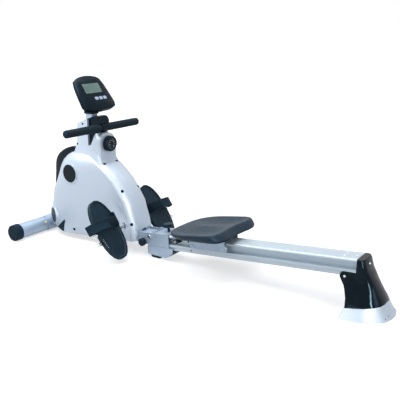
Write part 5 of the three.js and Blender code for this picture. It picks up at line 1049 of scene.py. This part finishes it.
for name, side in sides.items():
    body, place = f"{name}_footrest", pedal_place(side)
    strap = finished(f"{name}_toe_strap", *swept_strap(side, strap_section_shares), dull_rubber, body, place)
    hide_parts(f"{name}_foot_strap")
    patch_skin = swept_strap(
        side, patch_section_shares, patch_start_share, patch_end_share, patch_lift, patch_half_width,
    )
    patch = finished(f"{name}_strap_patch", *patch_skin, woven_strap, body, place)
    tail = finished(f"{name}_strap_tail", *lofted(tail_rings(side)), dull_rubber, body, place, smooth=False)
print("patch width", round(2 * patch_half_width / MM, 1))

# %% [markdown]
# ## Pull strap
# A flat nylon web runs from the drum inside the housing, over the guide roller and into the handle's clamp.
# When the handle is pulled, the web is drawn out between the two, a hundred times longer than at rest. A new
# web could be swept along the same route, but the solid's own mesh already has it. So a copy of that is
# joined up and cut into thin slices between roller and clamp, where it stretches.

# %% Pull strap
roller_top = Vector((-525, 0, 547.5)) * MM
clamp_slot = Vector((-516.5, 0, 549.3)) * MM
web_slices = 48
web_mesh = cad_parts["pull_strap"].data.copy()
web_mesh.name = "pull_web"
web_work = bmesh.new()
web_work.from_mesh(web_mesh)
bmesh.ops.remove_doubles(web_work, verts=web_work.verts, dist=merge_distance)
for slice_index in range(web_slices + 1):
    slice_place = roller_top.lerp(clamp_slot, slice_index / web_slices)
    bmesh.ops.bisect_plane(
        web_work, geom=web_work.verts[:] + web_work.edges[:] + web_work.faces[:],
        plane_co=slice_place, plane_no=(1, 0, 0), dist=0.1 * merge_distance,
    )
web_work.to_mesh(web_mesh)
web_work.free()
web_mesh.materials.clear()
web_mesh.materials.append(woven_strap)
pull_web = bpy.data.objects.new("pull_web", web_mesh)
bpy.context.scene.collection.objects.link(pull_web)
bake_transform(pull_web)
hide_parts("pull_strap")
print("web faces", len(web_mesh.polygons))

# %% [markdown]
# ## Screws, bolts and nuts
# The machine is held together by a few sorts of fastener, and every sort repeats. Placing each one by hand
# would leave some floating. So each head is drawn once, at a radius of one, and Geometry Nodes set it on
# points.

# %% Head shapes
head_steps = 24


def template(name, rings):
    """A shape to be repeated. It isn't in the scene itself."""
    vertices, faces = lofted(rings)
    mesh = bpy.data.meshes.new(name)
    mesh.from_pydata(vertices, [], faces)
    turned_outwards(mesh)
    return bpy.data.objects.new(name, mesh)


def head_shape(name, rows):
    """A head of radius one about Z. Rows are radius, height and the number of flats, with 0 for round."""
    rings = []
    for radius, height, flats in rows:
        ring = []
        for step in range(head_steps):
            turn = 2 * math.pi * step / head_steps
            reach = radius
            if flats:
                half = math.pi / flats
                reach = radius * math.cos(half) / math.cos(turn % (2 * half) - half)
            ring.append((reach * math.cos(turn), reach * math.sin(turn), height))
        rings.append(ring)
    return template(name, rings)


socket_head = head_shape("socket_head", [
    (1, -0.3, 0), (1, 0.5, 0), (0.93, 0.64, 0), (0.6, 0.66, 0), (0.56, 0.62, 6), (0.54, 0.2, 6),
    (0.05, 0.2, 6),
])
dome_head = head_shape("dome_head", [
    (1, -0.3, 0), (1, 0.1, 0), (0.91, 0.32, 0), (0.72, 0.5, 0), (0.42, 0.62, 0), (0.05, 0.66, 0),
])
sunk_ring = head_shape("sunk_ring", [
    (1, -0.2, 0), (1, 0.05, 0), (0.94, 0.1, 0), (0.86, 0.08, 0), (0.8, 0.03, 0), (0.05, 0.03, 0),
])
cap_nut = head_shape("cap_nut", [
    (1, -0.2, 6), (1, 0.7, 6), (0.8, 0.76, 0), (0.77, 1.0, 0), (0.6, 1.3, 0), (0.32, 1.5, 0), (0.05, 1.56, 0),
])
washer_shape = head_shape("washer_shape", [(1, -0.1, 0), (1, 0.14, 0), (0.95, 0.18, 0), (0.05, 0.18, 0)])


print("faces of a socket head", len(socket_head.data.polygons))

# %% [markdown]
# ### Setting the heads
# A real head sits flat on what it holds. The points carry two attributes, the way each faces and its radius,
# and the tree turns and scales a copy of the head at each. Loose copies would do in a picture, but they are
# one mesh here, because an export keeps only real faces.

# %% Tree that sets heads on points
def heads_tree():
    tree = bpy.data.node_groups.new("set_heads", "GeometryNodeTree")
    sockets = {"Points": "NodeSocketGeometry", "Head": "NodeSocketObject", "Finish": "NodeSocketMaterial"}
    inputs = {
        name: tree.interface.new_socket(name, in_out="INPUT", socket_type=kind).identifier
        for name, kind in sockets.items()
    }
    tree.interface.new_socket("Geometry", in_out="OUTPUT", socket_type="NodeSocketGeometry")
    start = new_node(tree, "NodeGroupInput")
    facing = new_node(tree, "GeometryNodeInputNamedAttribute", data_type="FLOAT_VECTOR")
    facing.inputs["Name"].default_value = "facing"
    radius = new_node(tree, "GeometryNodeInputNamedAttribute", data_type="FLOAT")
    radius.inputs["Name"].default_value = "radius"
    align = new_node(tree, "FunctionNodeAlignRotationToVector", axis="Z")
    head = new_node(tree, "GeometryNodeObjectInfo")
    place_heads = new_node(tree, "GeometryNodeInstanceOnPoints")
    realize = new_node(tree, "GeometryNodeRealizeInstances")
    paint = new_node(tree, "GeometryNodeSetMaterial")
    end = new_node(tree, "NodeGroupOutput")
    tree.links.new(start.outputs["Points"], place_heads.inputs["Points"])
    tree.links.new(start.outputs["Head"], head.inputs["Object"])
    tree.links.new(head.outputs["Geometry"], place_heads.inputs["Instance"])
    tree.links.new(facing.outputs["Attribute"], align.inputs["Vector"])
    tree.links.new(align.outputs["Rotation"], place_heads.inputs["Rotation"])
    tree.links.new(radius.outputs["Attribute"], place_heads.inputs["Scale"])
    tree.links.new(place_heads.outputs["Instances"], realize.inputs["Geometry"])
    tree.links.new(realize.outputs["Geometry"], paint.inputs["Geometry"])
    tree.links.new(start.outputs["Finish"], paint.inputs["Material"])
    tree.links.new(paint.outputs["Geometry"], end.inputs["Geometry"])
    return tree, inputs


set_heads, head_inputs = heads_tree()
print("nodes that set heads", len(set_heads.nodes))

# %% [markdown]
# ### From a tree to a plain piece
# What a tree makes is still live, and the moving and exporting of a piece want a plain mesh. The modifier
# could be applied by hand. In a script, new_from_object on the evaluated object gives the same mesh, and the
# object that carried the tree is removed.

# %% Helpers for a plain piece
heads_sharp_angle = math.radians(30)


def evaluated_mesh(source):
    """The plain mesh that an object's modifiers give. The object itself is then removed."""
    bpy.context.view_layer.update()
    mesh = bpy.data.meshes.new_from_object(source.evaluated_get(bpy.context.evaluated_depsgraph_get()))
    bpy.data.objects.remove(source)
    return mesh


def piece_of(name, mesh, body):
    mesh.polygons.foreach_set("use_smooth", [True] * len(mesh.polygons))
    mesh.set_sharp_from_angle(angle=heads_sharp_angle)
    piece = bpy.data.objects.new(name, mesh)
    bpy.context.scene.collection.objects.link(piece)
    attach(piece, body)
    return piece


print("heads stay sharp over", round(math.degrees(heads_sharp_angle)), "degrees")

# %% [markdown]
# ### Finding the surface
# Each point is first snapped to the nearest place on its solid, and the surface there says which way the head
# faces. A ray from outside could find the place too, but it would need a direction for each head, and the
# nearest place needs none.

# %% Helpers that set a head
def solid_surface(name):
    """A solid's surface, on which places can be looked up."""
    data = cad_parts[name].data
    points = [vertex.co.copy() for vertex in data.vertices]
    return BVHTree.FromPolygons(points, [tuple(face.vertices) for face in data.polygons])


def set_on(name, body, finish, head, rows):
    """Sets the head on rows of solid, place in millimetres and radius in millimetres."""
    places, facings, radii = [], [], []
    for solid, place, radius in rows:
        spot, normal, _, _ = solid_surface(solid).find_nearest(Vector(place) * MM)
        places.append(spot)
        facings += list(normal)
        radii.append(radius * MM)
    mesh = bpy.data.meshes.new(name + "_points")
    mesh.from_pydata(places, [], [])
    mesh.attributes.new("facing", "FLOAT_VECTOR", "POINT").data.foreach_set("vector", facings)
    mesh.attributes.new("radius", "FLOAT", "POINT").data.foreach_set("value", radii)
    points = bpy.data.objects.new(name + "_points", mesh)
    bpy.context.scene.collection.objects.link(points)
    setter = points.modifiers.new("set_heads", "NODES")
    setter.node_group = set_heads
    setter[head_inputs["Head"]] = head
    setter[head_inputs["Finish"]] = finish
    return piece_of(name, evaluated_mesh(points), body)


def on_both_sides(solid, x, y, z, radius):
    return [(solid, (x, side * y, z), radius) for side in sides.values()]


print("the tree asks for", sorted(head_inputs))

# %% [markdown]
# ### Screws of the housing
# The housing's two halves are screwed together from both sides, and each head is sunk in a pocket. Holes
# could be cut into the shells, but their meshes stay as they are: a black ring of painted shade, which stands
# for the shade inside the pocket, with a head inside it looks the same at this size.

# %% Housing screws
pocket_radius, pocket_screw = 7.2, 2.4
cover_pocket_share = 0.7
pocket_places = [
    ("shell", -459, 40, 392), ("shell", -341, 55, 283), ("shell", -283, 64, 139), ("shell", -638, 83, 53),
    ("mast_cover", -583, 45, 565), ("mast_cover", -622, 46, 468),
]
pocket_shades, pocket_screws = [], []
for side_name, side in sides.items():
    for solid, x, y, z in pocket_places:
        node = f"{side_name}_shell" if solid == "shell" else f"mast_cover_{side_name}"
        scale = cover_pocket_share if solid == "mast_cover" else 1.0
        pocket_shades.append((node, (x, side * y, z), scale * pocket_radius))
        pocket_screws.append((node, (x, side * y, z), scale * pocket_screw))
# The pockets are flat black rings of painted shade, for the shade inside each pocket.
set_on("housing_pockets", "frame", hole_shade_black, sunk_ring, pocket_shades)
set_on("housing_screws", "frame", satin_black, socket_head, pocket_screws)

print("housing screws", len(pocket_screws))

# %% [markdown]
# ### Bolts of the rail and the seat carriage
# Domed bolts hold the rollers' axles in the carriage and the leg on the rail. The end stop behind the hinge
# has a socket screw with a rubber washer on either side. The rail and the foot have a few open holes, each
# drawn as a flat black ring that paints the shade inside the hole.
# Every place was read off from the machine. A pattern would save little here, because hardly any two
# distances are the same.

# %% Rail and carriage bolts
carriage_bolts = [
    ("seat_carriage", (x, side * 53, z), radius) for side in sides.values()
    for x, z, radius in ((49.5, 104.6, 4.4), (119.6, 112, 4.4), (195.4, 119, 4.4), (216.8, 129.7, 3.2))
]
set_on("carriage_bolts", "sliding_seat", anodised_rail, dome_head, carriage_bolts)

rail_bolts = [
    ("rail", (707, -14, 198.4), 3.8), ("rail", (707, 14, 198.4), 3.8), ("rail", (749, 1, 202.5), 3.8),
    ("leg_cover", (798, 1, 182.3), 4.2),
] + on_both_sides("leg_cover", 724.3, 46, 130.7, 5.2)
set_on("rail_bolts", "slide_rail", bright_plate, dome_head, rail_bolts)
stop_bolts = on_both_sides("rail", -63.7, 24, 91, 6.2)
set_on("stop_bolts", "slide_rail", bright_plate, socket_head, stop_bolts)
stop_washers = on_both_sides("rail", -63.7, 24, 91, 10.5)
set_on("stop_washers", "slide_rail", dull_rubber, washer_shape, stop_washers)
# Painted shade: each open hole is a flat black ring for the shade inside it.
rail_holes = on_both_sides("rail", 4.9, 24, 105.5, 4.2) + on_both_sides("rail", 32.2, 41, 78.1, 4.2)
rail_holes += on_both_sides("leg_foot", 886.9, 50, 8.5, 2.2) + on_both_sides("leg_foot", 890.9, 27, 11.9, 2.2)
set_on("rail_holes", "slide_rail", hole_shade_black, sunk_ring, rail_holes)
print("bolts", len(carriage_bolts) + len(rail_bolts) + len(stop_bolts), "holes", len(rail_holes))

# %% [markdown]
# ### Fasteners of the frame
# A yellow zinc bolt on either side fixes the floor tube, cap nuts close the foot plates' axle, and the star
# knob turns on a washer between four small screws. Where a solid's own box gives the place, it is read from
# there, so that the fastener follows if the solid is changed.

# %% Frame fasteners
saddle_bolts = on_both_sides("stabilizer_tube", -830, 90.7, 54.6, 5.6)
set_on("saddle_bolts", "frame", yellow_zinc, dome_head, saddle_bolts)
axle_low, axle_high = (Vector(corner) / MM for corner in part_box("pedal_axle"))
axle_middle = (axle_low + axle_high) / 2
axle_nuts = [
    ("pedal_axle", (axle_middle.x, axle_low.y, axle_middle.z), 7.4),
    ("pedal_axle", (axle_middle.x, axle_high.y, axle_middle.z), 7.4),
]
set_on("axle_nuts", "frame", bright_plate, cap_nut, axle_nuts)
knob_low, knob_high = (Vector(corner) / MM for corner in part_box("star_knob"))
knob_x = (knob_low.x + knob_high.x) / 2
knob_washer = [("rail_bracket", (knob_x, 0, knob_low.z), 11.5)]
set_on("knob_washer", "slide_rail", bright_plate, washer_shape, knob_washer)
bracket_bolts = [
    ("rail_bracket", (knob_x + x, y, knob_low.z), 3.4) for x in (-18, 18) for y in (-24, 24)
]
set_on("bracket_bolts", "slide_rail", bright_plate, socket_head, bracket_bolts)
print("frame fasteners", len(saddle_bolts) + len(axle_nuts) + len(knob_washer) + len(bracket_bolts))

# %% [markdown]
# ### Peg sleeves
# A short steel peg stands out beside each foot plate, below its strap, and its end is rounded over. A Bevel
# on the solid would round all its other edges too. So a turned sleeve with a rounded end is put over the
# plain peg.

# %% Peg sleeves
peg_x, peg_z = 42 * MM, 3 * MM
sleeve_radius, sleeve_round = 7.6 * MM, 1.8 * MM
sleeve_start, sleeve_end = 69 * MM, 88 * MM
sleeve_core = 0.5 * MM
sleeve_steps = 32
for side_name, side in sides.items():
    profile = [(sleeve_core, sleeve_start)]
    profile += round_over(sleeve_radius, sleeve_round, sleeve_start, sleeve_end)
    profile += [(sleeve_core, sleeve_end)]
    rows = [(radius, side * along) for radius, along in profile]
    sleeve = finished(
        f"{side_name}_peg_sleeve", *lathed(rows, sleeve_steps), bright_plate, f"{side_name}_footrest",
        pedal_place(side) @ Matrix.Translation((peg_x, 0, peg_z)),
    )
print("sleeve length", round((sleeve_end - sleeve_start) / MM, 1))

# %% [markdown]
# ## Dial
# The tension dial has a finely fluted rim, a ring of printed ticks and the numbers one to eight. Flutes and
# ticks repeat round a circle. An Array modifier with a turned empty would do, but adds up its errors. One
# small tree sets an item on the points of a circle and turns each copy by its own share of the whole turn.

# %% Tree that repeats round a circle
def circle_tree():
    tree = bpy.data.node_groups.new("round_a_circle", "GeometryNodeTree")
    sockets = {
        "Geometry": "NodeSocketGeometry", "Count": "NodeSocketInt", "Radius": "NodeSocketFloat",
        "Item": "NodeSocketObject", "Finish": "NodeSocketMaterial",
    }
    inputs = {
        name: tree.interface.new_socket(name, in_out="INPUT", socket_type=kind).identifier
        for name, kind in sockets.items()
    }
    tree.interface.new_socket("Geometry", in_out="OUTPUT", socket_type="NodeSocketGeometry")
    start = new_node(tree, "NodeGroupInput")
    circle = new_node(tree, "GeometryNodeMeshCircle", fill_type="NONE")
    index = new_node(tree, "GeometryNodeInputIndex")
    share = new_node(tree, "ShaderNodeMath", operation="DIVIDE")
    turn = new_node(tree, "ShaderNodeMath", operation="MULTIPLY")
    turn.inputs[1].default_value = 2 * math.pi
    rotation = new_node(tree, "ShaderNodeCombineXYZ")
    item = new_node(tree, "GeometryNodeObjectInfo")
    repeat = new_node(tree, "GeometryNodeInstanceOnPoints")
    realize = new_node(tree, "GeometryNodeRealizeInstances")
    paint = new_node(tree, "GeometryNodeSetMaterial")
    end = new_node(tree, "NodeGroupOutput")
    tree.links.new(start.outputs["Count"], circle.inputs["Vertices"])
    tree.links.new(start.outputs["Radius"], circle.inputs["Radius"])
    tree.links.new(index.outputs["Index"], share.inputs[0])
    tree.links.new(start.outputs["Count"], share.inputs[1])
    tree.links.new(share.outputs[0], turn.inputs[0])
    tree.links.new(turn.outputs[0], rotation.inputs["Z"])
    tree.links.new(circle.outputs["Mesh"], repeat.inputs["Points"])
    tree.links.new(start.outputs["Item"], item.inputs["Object"])
    tree.links.new(item.outputs["Geometry"], repeat.inputs["Instance"])
    tree.links.new(rotation.outputs["Vector"], repeat.inputs["Rotation"])
    tree.links.new(repeat.outputs["Instances"], realize.inputs["Geometry"])
    tree.links.new(realize.outputs["Geometry"], paint.inputs["Geometry"])
    tree.links.new(start.outputs["Finish"], paint.inputs["Material"])
    tree.links.new(paint.outputs["Geometry"], end.inputs["Geometry"])
    return tree, inputs


round_a_circle, circle_inputs = circle_tree()
print("nodes that repeat round a circle", len(round_a_circle.nodes))

# %% [markdown]
# ### From the circle to a piece
# The flutes and the ticks are both small bars with round corners, so one shape serves for them. The tree
# could be set up anew for each ring, but a helper that takes the item, the count and the radius is shorter,
# and it carries the ring to its place as well.

# %% Helpers that repeat round a circle
def bar_shape(name, half_x, half_y, corner, low, high):
    """A bar with round corners, standing on its own origin."""
    return template(name, [rounded_ring(half_x, half_y, corner, height) for height in (low, high)])


def ring_of(name, body, finish, item, count, radius, place):
    """A piece made of the item, repeated on a circle round Z that is then carried to its place."""
    holder = bpy.data.objects.new(name + "_circle", bpy.data.meshes.new(name + "_circle"))
    bpy.context.scene.collection.objects.link(holder)
    repeater = holder.modifiers.new("round_a_circle", "NODES")
    repeater.node_group = round_a_circle
    repeater[circle_inputs["Count"]] = count
    repeater[circle_inputs["Radius"]] = radius
    repeater[circle_inputs["Item"]] = item
    repeater[circle_inputs["Finish"]] = finish
    mesh = evaluated_mesh(holder)
    mesh.transform(place)
    return piece_of(name, mesh, body)


print("the tree asks for", sorted(circle_inputs))

# %% [markdown]
# ### Flutes and ticks
# The flutes give the fingers hold, and the ticks are printed on the face. An image would carry the print on a
# real product model. Here each tick is a thin plate that stands a fraction of a millimetre over the face, so
# that it stays sharp from near by.

# %% Dial face
dial_low, dial_high = (Vector(corner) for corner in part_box("tension_dial"))
dial_middle = (dial_low + dial_high) / 2
dial_radius = (dial_high.z - dial_low.z) / 2
dial_depth = dial_high.x - dial_low.x
# The drawing's X, Y and Z become the machine's Y, Z and X
drawing_to_face = Matrix(((0, 0, 1, 0), (1, 0, 0, 0), (0, 1, 0, 0), (0, 0, 0, 1)))
dial_face = Matrix.Translation((dial_high.x, dial_middle.y, dial_middle.z)) @ drawing_to_face

flute_count, flute_sunk = 48, 0.2 * MM
flute_half_depth, flute_half_width, flute_corner = 0.7 * MM, 0.9 * MM, 0.5 * MM
flute_low, flute_high = -0.85 * dial_depth, -0.2 * dial_depth
flute = bar_shape("flute", flute_half_depth, flute_half_width, flute_corner, flute_low, flute_high)
ring_of(
    "dial_flutes", "dial", grained_black, flute, flute_count,
    dial_radius - flute_sunk, dial_face,
)

tick_count, tick_ring_share = 32, 0.66
tick_half_length, tick_half_width, tick_corner = 1.1 * MM, 0.3 * MM, 0.2 * MM
print_low, print_high = -0.1 * MM, 0.15 * MM
tick = bar_shape("tick", tick_half_length, tick_half_width, tick_corner, print_low, print_high)
ring_of(
    "dial_ticks", "dial", print_white, tick, tick_count,
    tick_ring_share * dial_radius, dial_face,
)
print("dial radius", round(dial_radius / MM, 1))

# %% [markdown]
# ### Dial numbers
# The numbers one to eight are printed between the ticks and the middle, each with its foot towards the
# middle. They could be one image too. Text objects made a mesh give the same figures with true edges, and a
# loop sets them at even turns.

# %% Dial numbers
number_size = 9.5 * MM
number_radius = 0.44 * dial_radius
number_lift = 0.1 * MM
number_count, first_number_turn, number_sweep = 8, 225, 270
numbers = bmesh.new()
for number in range(number_count):
    turn = math.radians(first_number_turn - number_sweep * number / (number_count - 1))
    digit = bpy.data.curves.new("dial_number", "FONT")
    digit.body = str(number + 1)
    digit.size = number_size
    digit.align_x = "CENTER"
    digit.align_y = "CENTER"
    digit.extrude = print_high
    digit_object = bpy.data.objects.new("dial_number", digit)
    bpy.context.scene.collection.objects.link(digit_object)
    number_mesh = evaluated_mesh(digit_object)
    spot = Matrix.Translation((number_radius * math.cos(turn), number_radius * math.sin(turn), number_lift))
    number_mesh.transform(dial_face @ spot @ Matrix.Rotation(turn - math.pi / 2, 4, "Z"))
    numbers.from_mesh(number_mesh)
numbers_mesh = bpy.data.meshes.new("dial_numbers")
numbers.to_mesh(numbers_mesh)
numbers.free()
numbers_mesh.materials.append(print_white)
piece_of("dial_numbers", numbers_mesh, "dial")
print("numbers", number_count)

# %% [markdown]
# ## Console
# The console is a closed tray with a glass, three keys and a raised frame, and its face is moulded with soft
# curves. Its details could be placed by numbers alone, but then one might float or sink in. So a ray is cast
# on to the solid, straight at the face, and each detail takes its height from there.

# %% Heights on the console
probe_height = 60 * MM
screen_middle = 26 * MM
screen_half_x, screen_half_y = 26 * MM, 53 * MM
band_width, band_height, band_root = 2.6 * MM, 1.0 * MM, 0.5 * MM


def height_over(solid, x, y):
    """The height of a solid's surface over the console's zero, at that place of its face."""
    outwards = console_place.to_3x3() @ Vector((0, 0, 1))
    start = console_place @ Vector((x, y, probe_height))
    spot, _, _, _ = solid_surface(solid).ray_cast(start, -outwards)
    return (console_place.inverted() @ spot).z


glass = height_over("display_lens", screen_middle, 0)
face = height_over("console_front", screen_middle, screen_half_y + band_width)
print("glass and face", round(glass / MM, 2), round(face / MM, 2))

# %% [markdown]
# ### Display frame
# The display sits in a raised polished frame. Its bevelled band could come from a plane with modifiers. Five
# rings with round corners, joined in a closed loop, make it directly. It reaches from below the lower surface
# to above the higher one, so that it stands on the glass and on the case.

# %% Display frame
def closed_band(rings):
    """A closed band over loops: each is joined to the next, and the last to the first."""
    count = len(rings[0])
    vertices = [point for ring in rings for point in ring]
    faces = []
    for level in range(len(rings)):
        above = (level + 1) % len(rings)
        for index in range(count):
            beside = (index + 1) % count
            low, high = level * count, above * count
            faces.append((low + index, low + beside, high + beside, high + index))
    return vertices, faces


band_bottom = min(glass, face) - band_root
band_top = max(glass, face) + band_height

# Rows are the reach past the screen's edge, the corner's radius and the height
band_rows = [
    (band_width, 5 * MM, band_bottom), (band_width, 5 * MM, band_top - 0.4 * MM),
    (band_width - 0.6 * MM, 4.4 * MM, band_top), (-0.6 * MM, 2.4 * MM, band_top),
    (-1.4 * MM, 1.8 * MM, band_bottom),
]
bezel_rings = [
    rounded_ring(screen_half_x + reach, screen_half_y + reach, corner, height, screen_middle)
    for reach, corner, height in band_rows
]
bezel = finished(
    "display_bezel", *closed_band(bezel_rings), polished_black, "frame", console_place, smooth=False,
)
print("frame stands over the glass", round((band_top - glass) / MM, 2))

# %% [markdown]
# ### Display lines
# Faint lines on the glass part the display's fields. They could be a colour alone, but then the seen shape
# would be missing from the mesh. So they are thin plates with round corners, drawn in the console's own
# directions.

# %% Display lines
# Rows are the middle and the half size, along and across, as shares of the screen's half sizes
field_line_shares = [
    (0.36, 0, 0.012, 0.9), (-0.3, 0, 0.012, 0.9), (0.03, 0.0, 0.3, 0.006), (0.66, 0.34, 0.28, 0.006),
]
line_half_thickness, line_corner = 0.2 * MM, 0.1 * MM
for index, (along, across, half_along, half_across) in enumerate(field_line_shares):
    rings = []
    for height in (glass - line_half_thickness, glass + line_half_thickness):
        ring = rounded_ring(half_along * screen_half_x, half_across * screen_half_y, line_corner, height)
        shift = Vector((screen_middle + along * screen_half_x, across * screen_half_y, 0))
        rings.append([point + shift for point in ring])
    line = finished(
        f"display_line_{index}", *lofted(rings), display_ink, "frame", console_place, smooth=False,
    )

print("display lines", len(field_line_shares))

# %% [markdown]
# ### Key pads
# Each key carries a lighter pad where the finger goes, with its upper edge drawn in a little. A Bevel would
# do that as well, but three rings in a loft say it directly. Each pad takes its height from its own key and
# rides on it, so that it goes down when the key is pressed.

# %% Key pads
key_x, key_first_y, key_pitch = 80 * MM, -4 * MM, 26 * MM
pad_half_x, pad_half_y, pad_corner = 5.2 * MM, 7.4 * MM, 1.6 * MM
# Rows are how far the edge is drawn in and the height over the key
pad_rows = [(0, -0.5 * MM), (0, 0.25 * MM), (0.4 * MM, 0.45 * MM)]
for index, name in enumerate(("left", "middle", "right")):
    y = key_first_y + index * key_pitch
    level = height_over(f"button_{name}", key_x, y)
    rings = []
    for inset, rise in pad_rows:
        ring = rounded_ring(pad_half_x - inset, pad_half_y - inset, pad_corner - inset, level + rise)
        rings.append([point + Vector((key_x, y, 0)) for point in ring])
    pad = finished(f"{name}_key_pad", *lofted(rings), pad_plastic, f"{name}_key", console_place, smooth=False)
    print(name, "key stands at", round(level / MM, 2))

# %% [markdown]
# ## Foot plate details
# The foot plates are grained black mouldings. The bead round the heel catches a line of light along its
# ridge, and that highlight is painted: a greyer black of its own, on all of the bead, stands for it. It
# could be masked in by height over the plate, but all of the bead stands up alike.

# %% Painted highlight of the heel bead
# Painted highlight: a pale grey for the light that the bead's ridge catches.
bead_highlight_grey = new_finish("bead_highlight_grey", 0.5)
low_specular(bead_highlight_grey, 0.4)
colours(bead_highlight_grey, noise(bead_highlight_grey, 5 * MM), (70, 84, 96), (96, 109, 120))
print("finish of the bead", bead_highlight_grey.name)

# %% [markdown]
# ### Heel bead
# The bead is moulded a finger's width inside the plate's edge and runs round the heel. It could be a bevelled
# curve, but the plate's outline is a formula: the same formula, drawn in a little, gives four lines side by
# side at two heights, and the bead is skinned across them.

# %% Heel bead
plate_half_length = 143.5 * MM
plate_power = 2.2
plate_middle = -5.4 * MM
detail_root = 0.3 * MM
bead_inset, bead_half_width, bead_height = 11 * MM, 1.0 * MM, 0.9 * MM
bead_top_share = 0.6
bead_steps = 120
heel_share = 0.3


def plate_outline(inset, height):
    """The plate's outline, drawn in by inset, starting at the middle of the heel."""
    ring = []
    for step in range(bead_steps):
        turn = 2 * math.pi * step / bead_steps
        along = math.copysign(abs(math.cos(turn)) ** (2 / plate_power), math.cos(turn))
        across = math.copysign(abs(math.sin(turn)) ** (2 / plate_power), math.sin(turn))
        ring.append(Vector((
            plate_middle + along * (plate_half_length - inset), across * (pedal_half_width - inset), height,
        )))
    return ring


bead_lines = [
    plate_outline(bead_inset - bead_half_width, pedal_face - detail_root),
    plate_outline(bead_inset - bead_top_share * bead_half_width, pedal_face + bead_height),
    plate_outline(bead_inset + bead_top_share * bead_half_width, pedal_face + bead_height),
    plate_outline(bead_inset + bead_half_width, pedal_face - detail_root),
]
bead_rings = list(zip(*bead_lines))
heel_steps = int(heel_share * bead_steps)
heel_bead_rings = bead_rings[-heel_steps:] + bead_rings[:heel_steps]


def heel_bead(name, side):
    bead = finished(
        f"{name}_plate_bead", *lofted(heel_bead_rings), bead_highlight_grey, f"{name}_footrest", pedal_place(side),
    )


print("bead rings", len(heel_bead_rings))

# %% [markdown]
# ### Heel ribs
# Ribs across the heel stop the shoe from slipping, each as wide as the plate is there. They could be an array
# along a line, but the plate's width changes from one to the next, so a loop asks the outline's formula for
# each.

# %% Heel ribs
heel_rib_count, heel_rib_pitch, heel_rib_start = 9, 9 * MM, 36 * MM
heel_rib_half_width, heel_rib_height, heel_rib_round = 1.3 * MM, 0.9 * MM, 0.5 * MM


def plate_half_width_at(x):
    share = (x - plate_middle) / plate_half_length
    return pedal_half_width * (1 - share ** plate_power) ** (1 / plate_power)


def heel_ribs(name, side):
    ribs = bmesh.new()
    for index in range(heel_rib_count):
        x = heel_rib_start + index * heel_rib_pitch
        reach = plate_half_width_at(x) - 2 * bead_inset
        rings = []
        for inset, height in ((0, pedal_face - detail_root), (heel_rib_round, pedal_face + heel_rib_height)):
            half_width = heel_rib_half_width - inset
            rings.append(rounded_ring(half_width, reach - inset, half_width, height, x))
        vertices, faces = lofted(rings)
        rib_mesh = bpy.data.meshes.new("heel_rib")
        rib_mesh.from_pydata(vertices, [], faces)
        ribs.from_mesh(rib_mesh)
    ribs_mesh = bpy.data.meshes.new(f"{name}_heel_ribs")
    ribs.to_mesh(ribs_mesh)
    ribs.free()
    turned_outwards(ribs_mesh)
    ribs_mesh.transform(pedal_place(side))
    ribs_mesh.materials.append(grained_black)
    piece_of(f"{name}_heel_ribs", ribs_mesh, f"{name}_footrest")


print("ribs on a heel", heel_rib_count)

# %% [markdown]
# ### Edge studs
# A row of small plated studs follows the plate's outer edge. They could be drawn on a curve, but the
# outline's formula gives their places again, and the tree that sets the screw heads can set them too. It
# takes places and radii in millimetres.

# %% Edge studs
stud_count, stud_pitch, stud_start = 6, 8 * MM, 30 * MM
stud_inset = 4.5 * MM
stud_radius = 1.4


def edge_studs(name, side):
    studs = []
    for index in range(stud_count):
        x = stud_start + index * stud_pitch
        y = side * (plate_half_width_at(x) - stud_inset)
        spot = pedal_place(side) @ Vector((x, y, pedal_face + pedal_rim)) / MM
        studs.append((f"{name}_pedal", spot, stud_radius))
    set_on(f"{name}_edge_studs", f"{name}_footrest", bright_plate, dome_head, studs)


for name, side in sides.items():
    heel_bead(name, side)
    heel_ribs(name, side)
    edge_studs(name, side)
print("studs on a plate", stud_count)
